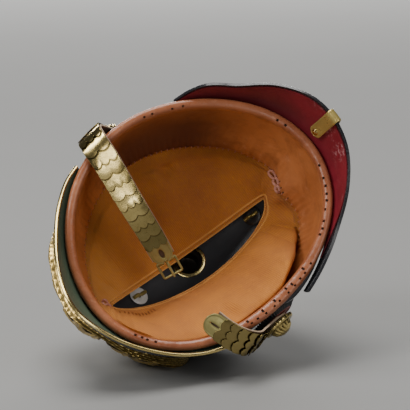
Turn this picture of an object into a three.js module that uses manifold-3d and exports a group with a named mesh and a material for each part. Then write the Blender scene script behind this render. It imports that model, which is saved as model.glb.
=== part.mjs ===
import * as THREE from 'three';
import { mergeVertices } from 'three/addons/utils/BufferGeometryUtils.js';
import Module from 'manifold-3d';

const wasm = await Module();
wasm.setup();

// Helmet frame while modelling: x ahead, y to the wearer's left, z up to the crown, origin in the rim plane
// All sizes are millimetres and all angles degrees

// How the helmet lies: which side is down, counted from the front to the wearer's right, and the axis's dip
const LIE = { side: 50.2, dip: 30.1 };

// Gap between pieces that sit on each other
const SEAT = 0.3;

// Skull: a leather dome over a slightly three-cornered oval
const SKULL = { halfLength: 102, halfWidth: 88.2, height: 110, fullness: 2.3, wall: 2.4, vent: 12 };
const WARP = { share: 0.0277, turn: -36.1 };
const ROUND_STEPS = 34;
const SKULL_ROWS = 7;

// Sweatband: its closed section, rise above the rim and inset from the skull's outer face
const BAND = { middle: 53, slope: -5 };
const BAND_HOOK = [
  { rise: -0.6, inset: -1.2 },
  { rise: -2.6, inset: -1.6 },
  { rise: -4.8, inset: -0.4 },
  { rise: -5.4, inset: 1.8 },
  { rise: -4.4, inset: 4.4 },
  { rise: -1.8, inset: 5.6 },
  { rise: 4, inset: 5.0 },
];
const BAND_FACE = [
  { share: 0.5, inset: 5.3 },
  { share: 1, inset: 7.0 },
  { share: 1, inset: 5.6 },
  { share: 0.5, inset: 3.9 },
];
const BAND_BACK = [
  { rise: 3, inset: 2.8 },
  { rise: -0.6, inset: 2.8 },
];

// Lining: cloth from behind the sweatband's upper edge to an almond slit that runs front to rear
const CLOTH = {
  wall: 1.2, tuck: 5, tuckInset: 4.4, clear: 3, clearInset: 5, turnIn: 0.16, midway: 0.5, rows: 6,
};
const SLIT = {
  ahead: 80, behind: 70, shift: 0, leftBow: 6, rightBow: 28,
  frontRise: 58, rearRise: 74, leftLift: 14, rightLift: 6,
};
const POUCH = { turn: -105, inset: 16, drop: 9, sag: 7 };

// Visors: how far the underside stands off the skull at its root and at its edge, and how far it drops
const VISOR = { rise: 3.5, wall: 1.4, under: 0.8, bow: 1.6, fullBow: 30, rows: 2 };
const FRONT_HALF = [
  { turn: 0, lift: 0.6, reach: 15, drop: 36 },
  { turn: 15, lift: 0.6, reach: 11.4, drop: 32 },
  { turn: 30, lift: 0.6, reach: 7.6, drop: 22 },
  { turn: 46, lift: 0.6, reach: 6.2, drop: 10 },
  { turn: 58, lift: 0.6, reach: 5.6, drop: 4.5 },
  { turn: 66, lift: 0.6, reach: 3.8, drop: 1.5 },
];
const REAR_ROWS = [
  { turn: -64, lift: 0.6, reach: 3.4, drop: 2 },
  { turn: -57, lift: 0.6, reach: 4.6, drop: 8 },
  { turn: -45, lift: 0.6, reach: 5.2, drop: 14 },
  { turn: -30, lift: 0.6, reach: 6.8, drop: 19 },
  { turn: -15, lift: 0.6, reach: 12, drop: 28 },
  { turn: 0, lift: 0.6, reach: 15.5, drop: 34 },
  { turn: 15, lift: 0.6, reach: 14.5, drop: 30 },
  { turn: 30, lift: 0.6, reach: 9.5, drop: 23 },
  { turn: 45, lift: 1.2, reach: 6, drop: 15 },
  { turn: 57, lift: 3, reach: 6.5, drop: 12 },
  { turn: 68, lift: 5, reach: 8, drop: 8 },
  { turn: 75, lift: 6.5, reach: 9, drop: 5 },
];
const FRONT_STEPS = 20;
const REAR_STEPS = 22;

// Brass edge of the front visor: its section, out past the edge and up through the visor's thickness
const TRIM_SECTION = [
  [-2.4, -1.1], [-2.4, -0.4], [0.4, -0.4], [0.4, 3.2], [-2.4, 3.2], [-2.4, 3.9],
  [0.9, 3.9], [1.7, 2.8], [1.7, 0], [0.9, -1.1],
];

// Rear spine: brass strip down the back, over the rear visor and round its edge
const SPINE = {
  width: 8.5, wall: 1, seat: 0.8, underSeat: 1.5, turn: 5, steps: 30,
  rises: [82, 66, 48, 30, 14], overShares: [0.02, 0.2, 0.5, 0.8, 0.97],
  edgeAngles: [40, 0, -40], underShares: [0.97, 0.8, 0.6, 0.42],
};
const RIVET = { radius: 2.6, height: 1.5, share: 0.55, shoulder: 0.8, shoulderHeight: 0.65, steps: 12 };

// Spike and its cross-shaped base
const BASE = {
  hub: 30, arm: 38, sharpness: 1.6, seat: 2.5, wall: 1.4, hole: 10, steps: 24, rows: 3, neckSteps: 14,
};
const NECK_PROFILE = [[8.5, 112], [20, 111.2], [13, 118.5], [11.5, 124], [12.5, 127], [8.5, 127]];
const PEARLS = { radius: 11.2, tube: 2.2, rise: 129.6, sides: 6, steps: 16 };
const SPIKE_PROFILE = [
  [0, 132.2], [12, 132.2], [12, 134], [9, 137], [7.5, 141],
  [7, 150], [5.3, 172], [3.4, 195], [2, 210.5], [0, 212],
];
const SPIKE_STEPS = 16;
const VENT_STEPS = 18;
const VENT_PROFILE = [
  [10.4, 105.2], [15.4, 105.2], [15.4, 106.2], [11.5, 106.2], [11.5, 109.2], [10.4, 109.2],
];

// Studs that hold the base, with split pins over white washers inside the crown
const STUD = {
  reach: 54, star: 6.4, starInner: 4.4, points: 6, head: 2.2, sink: 0.4,
  shank: 1.3, hole: 1.9, drill: 30, sides: 6,
};
const PIN = { length: 15, width: 2.4, wall: 0.8 };
const WASHER = { radius: 7.5, wall: 0.9, seat: 1.3, steps: 12 };

// Side fittings
const MOUNT = { turn: 88.4, rise: 25, stand: 1.4 };
const COCKADE_PROFILE = [
  [2.2, 2.8], [13.4, 2.8], [15, 3.5], [20.4, 0], [21.2, 1], [15, 4.6], [13, 3.8], [2.2, 3.8],
];
const COCKADE = { thickness: 4.6, steps: 18 };
const ROSETTE_STEPS = 16;
const ROSETTE_PROFILE = [[0, 0], [13, 0], [13, 1.8], [11, 3.2], [9.4, 2.8], [7.5, 6.4], [4, 8.7], [0, 9.4]];

// Chin straps: the path of the outer face after the side mount, and the direction across each strap
const STRAP = {
  wall: 1.8, startWidth: 22, endWidth: 17, trim: 2.4, overrun: 7, underPlate: 13,
  flat: 13.5, easing: 14, step: 6,
};
const LEFT_PATH = [
  { ahead: 16.5, left: 99, up: -5 },
  { ahead: 20, left: 91.5, up: -12 },
  { ahead: 22, left: 75, up: -9 },
  { ahead: 25, left: 45, up: 8.5 },
  { ahead: 27, left: 18, up: 25.5 },
  { ahead: 29, left: -4, up: 41 },
];
const LEFT_RUN = { across: [0.914, 0, 0.406], lean: 24, pitch: 9.4, first: 13.6 };
const RIGHT_PATH = [
  { ahead: 25.5, left: -95.4, up: 3.5 },
  { ahead: 33.5, left: -95.6, up: -5.5 },
  { ahead: 40, left: -89.5, up: -11.8 },
  { ahead: 44.5, left: -77.5, up: -14 },
  { ahead: 47, left: -59, up: -14.6 },
];
const RIGHT_RUN = { across: [-0.9, 0.1, -0.42], lean: 46, pitch: 6.9, first: 17 };
const SCALE = {
  length: 13, lobe: 2.4, arch: 1.8, wall: 0.9, lift: 0.28, lobeSteps: { 2: 6, 3: 9 },
};
const END_PLATE = {
  length: 20, straight: 9, shoulder: 5, narrow: 0.55, cut: 17.6, wall: 0.9,
  eyeStart: 5.5, eyeEnd: 13.4, eyeHalf: 1.8, notchHalf: 1.8, notchStart: 15.4,
};

// Buckle, in the end plate's own frame: across, along and out of the strap
const HINGE = { along: 17, out: -2.2, hang: 7.5 };
const LOOP = {
  outer: 2.1, bore: 1.25, from: 1.9, to: 6.6,
  tongueStart: 6, tongueEnd: 14.4, tongueLow: -3, tongueHigh: -2.1,
};
const FRAME = { half: 8.2, bar: 0.8, reach: 13 };
const PRONG = { eye: 1.9, bore: 1.2, half: 1.2, wall: 1, start: 1.2, tip: 14.2, startOut: 0.9, tipOut: 1.7 };

// Front plate: a bird with spread wings, in arc millimetres from the centre line and up from the rim
const PLATE = { arc: 95, climb: 105, stand: 1 };
const PROUD = { left: 13.2, right: 5, leftFrom: -24, leftFull: 12, low: 32, high: 60.5 };
const WING = [
  { rootAcross: 30, rootUp: 75, tipAcross: 70, tipUp: 72, width: 13 },
  { rootAcross: 29, rootUp: 70, tipAcross: 75, tipUp: 51, width: 15 },
  { rootAcross: 26, rootUp: 65, tipAcross: 70, tipUp: 31, width: 15 },
  { rootAcross: 22, rootUp: 60, tipAcross: 54, tipUp: 18, width: 15 },
  { rootAcross: 16, rootUp: 55, tipAcross: 34, tipUp: 16, width: 14 },
];
const COVERTS = [
  { rootAcross: 6, rootUp: 66, tipAcross: 46, tipUp: 60, width: 24 },
];
const TAIL = [
  { rootAcross: 2, rootUp: 38, tipAcross: 13, tipUp: 13, width: 11 },
  { rootAcross: 0, rootUp: 38, tipAcross: 0, tipUp: 10, width: 12 },
  { rootAcross: -2, rootUp: 38, tipAcross: -13, tipUp: 13, width: 11 },
];
const RELIEF = { wing: 1.8, covert: 2.8, tail: 1.8, edge: 0.7 };
const FEATHER = { start: 0.2, span: 0.76, fullness: 0.6 };
const BIRD = {
  bodyUp: 52, bodyHalf: 12, bodyTall: 23, bodyRelief: 5,
  headUp: 79, headHalf: 7, headTall: 8, headRelief: 5,
  beakReach: 6.5, beakUp: 80, beakTall: 2.6, beakRelief: 3,
  shoulder: 45, shoulderUp: 60, shoulderHalf: 12, shoulderTall: 9, shoulderRelief: 4.5,
};

const deg = THREE.MathUtils.degToRad;
const up = new THREE.Vector3(0, 0, 1);

// Closed solid from points and triangles, turned outward
function solidFrom(points, index) {
  let volume = 0;
  for (let i = 0; i < index.length; i += 3) {
    const [a, b, c] = [points[index[i]], points[index[i + 1]], points[index[i + 2]]];
    volume += a.dot(new THREE.Vector3().crossVectors(b, c));
  }
  const turned = volume < 0 ? index.toReversed() : index;
  const geometry = new THREE.BufferGeometry();
  geometry.setAttribute('position', new THREE.Float32BufferAttribute(points.flatMap((p) => p.toArray()), 3));
  geometry.setIndex(turned);
  return geometry;
}

// Sheet between two faces, each a function of two shares from 0 to 1, closed round the first if asked
function sheetSolid(across, along, outer, inner, closed = false) {
  const columns = closed ? across : across + 1;
  const points = [];
  for (const face of [outer, inner]) {
    for (let i = 0; i < columns; i++) {
      for (let j = 0; j <= along; j++) points.push(face(i / across, j / along));
    }
  }
  const at = (side, i, j) => (side * columns + (i % columns)) * (along + 1) + j;
  const index = [];
  const quad = (a, b, c, d) => index.push(a, b, c, a, c, d);
  for (let i = 0; i < across; i++) {
    for (let j = 0; j < along; j++) {
      quad(at(0, i, j), at(0, i + 1, j), at(0, i + 1, j + 1), at(0, i, j + 1));
      quad(at(1, i, j), at(1, i, j + 1), at(1, i + 1, j + 1), at(1, i + 1, j));
    }
    quad(at(0, i, 0), at(1, i, 0), at(1, i + 1, 0), at(0, i + 1, 0));
    quad(at(0, i, along), at(0, i + 1, along), at(1, i + 1, along), at(1, i, along));
  }
  if (!closed) {
    for (let j = 0; j < along; j++) {
      quad(at(0, 0, j), at(0, 0, j + 1), at(1, 0, j + 1), at(1, 0, j));
      quad(at(0, across, j), at(1, across, j), at(1, across, j + 1), at(0, across, j + 1));
    }
  }
  return solidFrom(points, index);
}

// Skin over equal rings of points, closed on itself or capped with the triangles of a flat section
function skinSolid(rings, section) {
  const size = rings[0].length;
  const spans = section ? rings.length - 1 : rings.length;
  const index = [];
  for (let i = 0; i < spans; i++) {
    const here = i * size;
    const next = ((i + 1) % rings.length) * size;
    for (let j = 0; j < size; j++) {
      const k = (j + 1) % size;
      index.push(here + j, next + j, next + k, here + j, next + k, here + k);
    }
  }
  if (section) {
    const last = (rings.length - 1) * size;
    const contour = section.map(([x, y]) => new THREE.Vector2(x, y));
    const turn = THREE.ShapeUtils.isClockWise(contour) ? -1 : 1;
    for (const [a, b, c] of THREE.ShapeUtils.triangulateShape(contour, [])) {
      const [p, q] = turn > 0 ? [b, c] : [c, b];
      index.push(a, p, q);
      index.push(last + a, last + q, last + p);
    }
  }
  return solidFrom(rings.flat(), index);
}

function toManifold(geometry) {
  const bare = geometry.clone();
  bare.deleteAttribute('normal');
  bare.deleteAttribute('uv');
  const merged = mergeVertices(bare, 1e-4);
  const mesh = new wasm.Mesh({
    numProp: 3,
    vertProperties: Float32Array.from(merged.getAttribute('position').array),
    triVerts: Uint32Array.from(merged.getIndex().array),
  });
  return new wasm.Manifold(mesh);
}

function fromManifold(manifold) {
  const mesh = manifold.getMesh();
  const geometry = new THREE.BufferGeometry();
  geometry.setAttribute('position', new THREE.Float32BufferAttribute(mesh.vertProperties, 3));
  geometry.setIndex(Array.from(mesh.triVerts));
  return geometry;
}

function joined(geometries) {
  return fromManifold(geometries.map(toManifold).reduce((sum, next) => sum.add(next)));
}

function cut(geometry, tools) {
  const start = toManifold(geometry);
  return fromManifold(tools.map(toManifold).reduce((rest, tool) => rest.subtract(tool), start));
}

// Turned piece about z from radius and height pairs, closed on itself when it has a bore
function turned(profile, steps) {
  const bored = profile[0][0] > 0;
  const pairs = bored ? [...profile, profile[0]] : profile;
  const geometry = new THREE.LatheGeometry(pairs.map(([r, z]) => new THREE.Vector2(r, z)), steps);
  return geometry.rotateX(Math.PI / 2);
}

// Set a piece modelled about z on a point, with z along an axis and x as near as can be along another
function placed(geometry, origin, axis, ahead) {
  const side = new THREE.Vector3().crossVectors(axis, ahead).normalize();
  const front = new THREE.Vector3().crossVectors(side, axis).normalize();
  const basis = new THREE.Matrix4().makeBasis(front, side, axis.clone().normalize());
  return geometry.clone().applyMatrix4(basis.setPosition(origin));
}

function ovalRadius(turn) {
  const plain = 1 / Math.hypot(Math.cos(turn) / SKULL.halfLength, Math.sin(turn) / SKULL.halfWidth);
  return plain * (1 + WARP.share * Math.cos(3 * (turn - deg(WARP.turn))));
}

// Skull's outer face by turn about the axis and climb from the rim (0) to the crown (a right angle)
function skinPoint(turn, climb) {
  const reach = ovalRadius(turn) * Math.cos(climb) ** (2 / SKULL.fullness);
  const rise = SKULL.height * Math.sin(climb) ** (2 / SKULL.fullness);
  return new THREE.Vector3(reach * Math.cos(turn), reach * Math.sin(turn), rise);
}

function skullNormal(turn, climb) {
  const step = 0.002;
  const mid = THREE.MathUtils.clamp(climb, step, Math.PI / 2 - 2 * step);
  const around = skinPoint(turn + step, mid).sub(skinPoint(turn - step, mid));
  const upward = skinPoint(turn, mid + step).sub(skinPoint(turn, mid - step));
  return around.cross(upward).normalize();
}

function skullPoint(turn, climb, offset) {
  return skinPoint(turn, climb).addScaledVector(skullNormal(turn, climb), offset);
}

function climbAtRise(rise) {
  return Math.asin((rise / SKULL.height) ** (SKULL.fullness / 2));
}

function climbAtReach(turn, reach) {
  return Math.acos((reach / ovalRadius(turn)) ** (SKULL.fullness / 2));
}

// Point inside or outside the wall by rise above the rim plane, also below it
function wallPoint(turn, rise, inset) {
  if (rise > 0) return skullPoint(turn, climbAtRise(rise), -inset);
  const flat = skullNormal(turn, 0).setZ(0).normalize();
  return skinPoint(turn, 0).addScaledVector(flat, -inset).setZ(rise);
}

// Frame of a stud: a point on the skull, the way out of it and the way from the crown
function studFrame(turn) {
  const climb = climbAtReach(turn, STUD.reach);
  const axis = skullNormal(turn, climb);
  const away = new THREE.Vector3(Math.cos(turn), Math.sin(turn), 0);
  return { origin: skinPoint(turn, climb), axis, away, at: (out) => skullPoint(turn, climb, out) };
}

const STUD_TURNS = { front: 0, left: Math.PI / 2, rear: Math.PI, right: -Math.PI / 2 };
const studFrames = Object.entries(STUD_TURNS).map(([name, turn]) => ({ name, ...studFrame(turn) }));

function studHole({ origin, axis, away }) {
  const drill = new THREE.CylinderGeometry(STUD.hole, STUD.hole, STUD.drill, STUD.sides).rotateX(Math.PI / 2);
  return placed(drill, origin, axis, away);
}

function makeSkull() {
  const face = (u, v, offset) => {
    const turn = 2 * Math.PI * u;
    return skullPoint(turn, v * climbAtReach(turn, SKULL.vent), offset);
  };
  const outer = (u, v) => face(u, v, 0);
  const inner = (u, v) => face(u, v, -SKULL.wall);
  return cut(sheetSolid(ROUND_STEPS, SKULL_ROWS, outer, inner, true), studFrames.map(studHole));
}

function bandTop(turn) {
  return BAND.middle + BAND.slope * Math.cos(turn);
}

function makeSweatband() {
  const rings = [];
  for (let i = 0; i < ROUND_STEPS; i++) {
    const turn = (2 * Math.PI * i) / ROUND_STEPS;
    rings.push([
      ...BAND_HOOK.map(({ rise, inset }) => wallPoint(turn, rise, inset)),
      ...BAND_FACE.map(({ share, inset }) => wallPoint(turn, share * bandTop(turn), inset)),
      ...BAND_BACK.map(({ rise, inset }) => wallPoint(turn, rise, inset)),
      wallPoint(turn, -0.6, 0),
    ]);
  }
  return skinSolid(rings);
}

function slitPoint(turn) {
  const back = (1 - Math.cos(turn)) / 2;
  const side = Math.sin(turn);
  const bow = side > 0 ? SLIT.leftBow : SLIT.rightBow;
  const lift = side > 0 ? SLIT.leftLift : SLIT.rightLift;
  const ahead = THREE.MathUtils.lerp(SLIT.ahead, -SLIT.behind, back);
  const rise = THREE.MathUtils.lerp(SLIT.frontRise, SLIT.rearRise, back) + lift * side * side;
  return new THREE.Vector3(ahead, SLIT.shift + bow * side, rise);
}

// Cloth's middle surface: up from behind the sweatband, over a pouch on the lower side, in to the slit
function clothCurve(turn) {
  const top = bandTop(turn);
  const fold = Math.max(0, Math.cos(turn - deg(POUCH.turn)));
  const slit = slitPoint(turn);
  const tucked = wallPoint(turn, top - CLOTH.tuck, CLOTH.tuckInset);
  const clear = wallPoint(turn, top + CLOTH.clear, CLOTH.clearInset);
  const pouch = wallPoint(turn, top - POUCH.drop, POUCH.inset);
  const turnIn = clear.clone().lerp(slit, CLOTH.turnIn).lerp(pouch, fold);
  const middle = turnIn.clone().lerp(slit, CLOTH.midway).addScaledVector(up, -POUCH.sag * fold);
  return new THREE.CatmullRomCurve3([tucked, clear, turnIn, middle, slit], false, 'centripetal');
}

function makeLining() {
  const middle = (u, v) => clothCurve(2 * Math.PI * u).getPoint(v);
  const face = (u, v, offset) => {
    const step = 0.004;
    const low = Math.max(0, v - step);
    const high = Math.min(1, v + step);
    const around = middle(u + step, v).sub(middle(u - step, v));
    const along = middle(u, high).sub(middle(u, low));
    return middle(u, v).addScaledVector(around.cross(along).normalize(), offset);
  };
  const outer = (u, v) => face(u, v, CLOTH.wall / 2);
  const inner = (u, v) => face(u, v, -CLOTH.wall / 2);
  return sheetSolid(ROUND_STEPS, CLOTH.rows, outer, inner, true);
}

// A visor: smooth lift, reach and drop over its turn, and points by turn, share outward and height
function makeVisor(rows, middle) {
  const values = rows.flatMap(({ lift, reach, drop }) => [lift, reach, drop]);
  const curve = new THREE.CubicInterpolant(rows.map(({ turn }) => turn), values, 3);
  const first = rows[0].turn;
  const last = rows[rows.length - 1].turn;
  const section = (turn) => {
    const [lift, reach, drop] = curve.evaluate(turn);
    const heading = deg(middle + turn);
    const out = skullNormal(heading, 0).setZ(0).normalize();
    const rim = skinPoint(heading, 0);
    const root = rim.clone().addScaledVector(out, lift).setZ(VISOR.rise);
    const edge = rim.clone().addScaledVector(out, reach).setZ(-drop);
    const run = edge.clone().sub(root).normalize();
    const upper = new THREE.Vector3().addScaledVector(out, -run.z).addScaledVector(up, run.dot(out));
    return { root, edge, run, upper };
  };
  const point = (turn, share, height) => {
    const { root, edge, upper } = section(turn);
    const bow = VISOR.bow * 4 * share * (1 - share) * Math.min(1, root.distanceTo(edge) / VISOR.fullBow);
    return root.clone().lerp(edge, share).addScaledVector(upper, height + bow);
  };
  const sheet = (steps, low, high) => {
    const at = (u) => THREE.MathUtils.lerp(first, last, u);
    const outer = (u, v) => point(at(u), v, high);
    const inner = (u, v) => point(at(u), v, low);
    return sheetSolid(steps, VISOR.rows, outer, inner);
  };
  return { first, last, section, point, sheet };
}

const VISOR_LOW = VISOR.under + SEAT;
const VISOR_TOP = VISOR_LOW + VISOR.wall;
const mirroredHalf = FRONT_HALF.slice(1).reverse().map((row) => ({ ...row, turn: -row.turn }));
const frontVisor = makeVisor([...mirroredHalf, ...FRONT_HALF], 0);
const rearVisor = makeVisor(REAR_ROWS, 180);

function makeTrim() {
  const rings = [];
  for (let i = 0; i <= FRONT_STEPS; i++) {
    const turn = THREE.MathUtils.lerp(frontVisor.first, frontVisor.last, i / FRONT_STEPS);
    const { edge, run, upper } = frontVisor.section(turn);
    rings.push(TRIM_SECTION.map(([out, high]) => (
      edge.clone().addScaledVector(run, out).addScaledVector(upper, high)
    )));
  }
  return skinSolid(rings, TRIM_SECTION);
}

// Inner face of the spine, down the skull, along the rear visor and round its edge to the underside
function spineCurve() {
  const { turn, seat, underSeat, rises } = SPINE;
  const { edge, run, upper } = rearVisor.section(turn);
  const middle = edge.clone().addScaledVector(upper, (VISOR_TOP + seat - underSeat) / 2);
  const round = (VISOR_TOP + seat + underSeat) / 2;
  const points = [];
  for (const rise of rises) {
    points.push(wallPoint(deg(180 + turn * (1 - rise / rises[0])), rise, -seat));
  }
  for (const share of SPINE.overShares) points.push(rearVisor.point(turn, share, VISOR_TOP + seat));
  for (const angle of SPINE.edgeAngles) {
    const out = run.clone().multiplyScalar(Math.cos(deg(angle)) * round);
    points.push(middle.clone().add(out).addScaledVector(upper, Math.sin(deg(angle)) * round));
  }
  for (const share of SPINE.underShares) points.push(rearVisor.point(turn, share, -underSeat));
  return new THREE.CatmullRomCurve3(points, false, 'centripetal');
}

function makeSpine() {
  const curve = spineCurve();
  const heading = deg(180 + SPINE.turn);
  const wide = new THREE.Vector3(-Math.sin(heading), Math.cos(heading), 0);
  const face = (u, v, out) => {
    const outward = new THREE.Vector3().crossVectors(curve.getTangent(u), wide).normalize();
    return curve.getPoint(u).addScaledVector(wide, (v - 0.5) * SPINE.width).addScaledVector(outward, out);
  };
  const step = new THREE.Vector3().crossVectors(curve.getTangent(0), wide);
  const sense = step.dot(skullNormal(Math.PI, climbAtRise(SPINE.rises[0]))) > 0 ? 1 : -1;
  const outer = (u, v) => face(u, v, sense * SPINE.wall);
  const inner = (u, v) => face(u, v, 0);
  return sheetSolid(SPINE.steps, 1, outer, inner);
}

function makeRivet() {
  const { radius, height, share, shoulder, shoulderHeight, steps } = RIVET;
  const bend = [radius * shoulder, height * shoulderHeight];
  const dome = turned([[0, 0], [radius, 0], bend, [0, height]], steps);
  const { run, upper } = rearVisor.section(SPINE.turn);
  const seat = rearVisor.point(SPINE.turn, share, -(SPINE.underSeat + SPINE.wall + SEAT));
  return placed(dome, seat, upper.clone().negate(), run);
}

// Cross-shaped plate over the crown, with the neck for the spike
function makeBase() {
  const reachAt = (turn) => BASE.hub + BASE.arm * Math.abs(Math.cos(2 * turn)) ** BASE.sharpness;
  const face = (u, v, offset) => {
    const turn = 2 * Math.PI * u;
    const reach = THREE.MathUtils.lerp(BASE.hole, reachAt(turn), v);
    return skullPoint(turn, climbAtReach(turn, reach), offset);
  };
  const outer = (u, v) => face(u, v, BASE.seat + BASE.wall);
  const inner = (u, v) => face(u, v, BASE.seat);
  const plate = sheetSolid(BASE.steps, BASE.rows, outer, inner, true);
  return cut(joined([plate, turned(NECK_PROFILE, BASE.neckSteps)]), studFrames.map(studHole));
}

function makeStud({ axis, away, at }) {
  const star = new THREE.Shape();
  for (let i = 0; i < 2 * STUD.points; i++) {
    const radius = i % 2 ? STUD.starInner : STUD.star;
    const angle = (Math.PI * i) / STUD.points;
    const [x, y] = [radius * Math.cos(angle), radius * Math.sin(angle)];
    if (i) star.lineTo(x, y);
    else star.moveTo(x, y);
  }
  star.closePath();
  const head = new THREE.ExtrudeGeometry(star, { depth: STUD.head, bevelEnabled: false });
  const low = -(SKULL.wall + WASHER.seat + WASHER.wall + SEAT + PIN.wall);
  const high = BASE.seat + BASE.wall + SEAT + STUD.sink;
  const shank = new THREE.CylinderGeometry(STUD.shank, STUD.shank, high - low, STUD.sides);
  shank.rotateX(Math.PI / 2);
  const pin = new THREE.BoxGeometry(PIN.length, PIN.width, PIN.wall);
  const pieces = [
    placed(head, at(BASE.seat + BASE.wall + SEAT), axis, away),
    placed(shank, at((high + low) / 2), axis, away),
    placed(pin, at(low + PIN.wall / 2), axis, away),
  ];
  return joined(pieces);
}

function makeWasher({ axis, away, at }) {
  const { radius, wall, seat, steps } = WASHER;
  const ring = turned([[STUD.hole, 0], [radius, 0], [radius, wall], [STUD.hole, wall]], steps);
  return placed(ring, at(-(SKULL.wall + seat + wall)), axis, away);
}

function makePearls() {
  const { radius, tube, rise, sides, steps } = PEARLS;
  return new THREE.TorusGeometry(radius, tube, sides, steps).translate(0, 0, rise);
}

// Side mount, its side +1 on the wearer's left and -1 on the right
function sideMount(side) {
  const turn = side * deg(MOUNT.turn);
  const climb = climbAtRise(MOUNT.rise);
  const axis = skullNormal(turn, climb).setZ(0).normalize();
  return { axis, at: (out) => skinPoint(turn, climb).addScaledVector(axis, MOUNT.stand + out) };
}

const COCKADE_SEAT = SEAT;
const STRAP_FACE = COCKADE_SEAT + COCKADE.thickness + SEAT + STRAP.wall;

function makeCockade(side) {
  const { axis, at } = sideMount(side);
  return placed(turned(COCKADE_PROFILE, COCKADE.steps), at(COCKADE_SEAT), axis, up);
}

function makeRosette(side) {
  const { axis, at } = sideMount(side);
  return placed(turned(ROSETTE_PROFILE, ROSETTE_STEPS), at(STRAP_FACE + SEAT), axis, up);
}

// A strap: frames along its outer face, each giving points across, along and out
function makeStrap(side, path, { across: wideAxis, lean, pitch, first: start }) {
  const { axis, at } = sideMount(side);
  const mount = at(STRAP_FACE);
  const leaving = new THREE.Vector3(Math.sin(deg(lean)), 0, -Math.cos(deg(lean)));
  leaving.addScaledVector(axis, -leaving.dot(axis)).normalize();
  const flat = [0, 0.5, 1].map((share) => mount.clone().addScaledVector(leaving, share * STRAP.flat));
  const points = [...flat, ...path.map(({ ahead, left, up: rise }) => new THREE.Vector3(ahead, left, rise))];
  const curve = new THREE.CatmullRomCurve3(points, false, 'centripetal');
  const length = curve.getLength();
  const wide = new THREE.Vector3(...wideAxis);
  const frame = (run) => {
    const share = THREE.MathUtils.clamp(run / length, 0, 1);
    const tangent = curve.getTangentAt(share);
    const free = new THREE.Vector3().crossVectors(wide, tangent).normalize();
    const loose = THREE.MathUtils.smoothstep(run, STRAP.flat, STRAP.flat + STRAP.easing);
    const facing = axis.clone().lerp(free, loose);
    const across = new THREE.Vector3().crossVectors(tangent, facing).normalize();
    const out = new THREE.Vector3().crossVectors(across, tangent);
    const origin = curve.getPointAt(share).addScaledVector(tangent, run - share * length);
    const point = (a, b, c) => (
      origin.clone().addScaledVector(across, a).addScaledVector(tangent, b).addScaledVector(out, c)
    );
    return { origin, tangent, across, out, point };
  };
  const width = (run) => THREE.MathUtils.lerp(STRAP.startWidth, STRAP.endWidth, run / length);
  const plates = Math.floor((length - END_PLATE.length - start) / pitch);
  const first = length - END_PLATE.length - plates * pitch;
  return { length, frame, width, plates, pitch, first, end: frame(length - END_PLATE.length) };
}

function makeLeather(strap) {
  const stop = strap.length - END_PLATE.length + STRAP.underPlate;
  const face = (u, v, out) => {
    const run = THREE.MathUtils.lerp(-STRAP.overrun, stop, v);
    const half = (strap.width(run) - STRAP.trim) / 2;
    return strap.frame(run).point((2 * u - 1) * half, 0, out);
  };
  const outer = (u, v) => face(u, v, 0);
  const inner = (u, v) => face(u, v, -STRAP.wall);
  return sheetSolid(1, Math.round(strap.length / STRAP.step), outer, inner);
}

function makeScale(strap, run, lobes) {
  const frame = strap.frame(run);
  const half = strap.width(run) / 2;
  const slope = (SCALE.wall + SCALE.lift) / strap.pitch;
  const face = (u, v, out) => {
    const across = 2 * u - 1;
    const edge = SCALE.length - SCALE.lobe * (1 - Math.abs(Math.sin(lobes * Math.PI * u)));
    const arch = SCALE.arch * (1 - across * across);
    return frame.point(across * half, v * edge, SCALE.lift + slope * v * edge + arch + out);
  };
  const outer = (u, v) => face(u, v, SCALE.wall);
  const inner = (u, v) => face(u, v, 0);
  return sheetSolid(SCALE.lobeSteps[lobes], 1, outer, inner);
}

// Map a piece modelled across x, along y and out z into the strap's end frame
function atEnd(geometry, end) {
  const basis = new THREE.Matrix4().makeBasis(end.across, end.tangent, end.out);
  return geometry.clone().applyMatrix4(basis.setPosition(end.origin));
}

// End plate of a strap, notched at its tip where the buckle's prong swings
function makeEndPlate(strap, notched) {
  const half = STRAP.endWidth / 2;
  const { straight, shoulder, narrow, eyeStart, eyeEnd, eyeHalf, cut: tip, wall } = END_PLATE;
  const outline = new THREE.Shape();
  outline.moveTo(-half, 0);
  outline.lineTo(half, 0);
  outline.lineTo(half, straight);
  outline.bezierCurveTo(half, straight + shoulder, half * narrow, tip, 0, tip);
  outline.bezierCurveTo(-half * narrow, tip, -half, straight + shoulder, -half, straight);
  outline.closePath();
  const eye = new THREE.Path();
  const middle = (eyeStart + eyeEnd) / 2;
  eye.moveTo(0, eyeStart);
  eye.quadraticCurveTo(2 * eyeHalf, middle, 0, eyeEnd);
  eye.quadraticCurveTo(-2 * eyeHalf, middle, 0, eyeStart);
  outline.holes.push(eye);
  const plate = new THREE.ExtrudeGeometry(outline, { depth: wall, bevelEnabled: false, curveSegments: 6 });
  plate.translate(0, 0, SCALE.lift);
  if (!notched) return atEnd(plate, strap.end);
  const { notchHalf, notchStart, length } = END_PLATE;
  const notch = block(-notchHalf, notchHalf, notchStart, length, 0, SCALE.lift + 2 * wall);
  return atEnd(cut(plate, [notch]), strap.end);
}

// Let a piece that is modelled in line with the strap hang down about the hinge
function hanging(geometry, end) {
  geometry.translate(0, -HINGE.along, -HINGE.out).rotateX(deg(HINGE.hang));
  return atEnd(geometry.translate(0, HINGE.along, HINGE.out), end);
}

// Round bar along x about the hinge
function hingeBar(radius, from, to, sides) {
  const bar = new THREE.CylinderGeometry(radius, radius, to - from, sides).rotateZ(Math.PI / 2);
  return bar.translate((from + to) / 2, HINGE.along, HINGE.out);
}

function block(x0, x1, y0, y1, z0, z1) {
  const box = new THREE.BoxGeometry(x1 - x0, y1 - y0, z1 - z0);
  return box.translate((x0 + x1) / 2, (y0 + y1) / 2, (z0 + z1) / 2);
}

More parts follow.
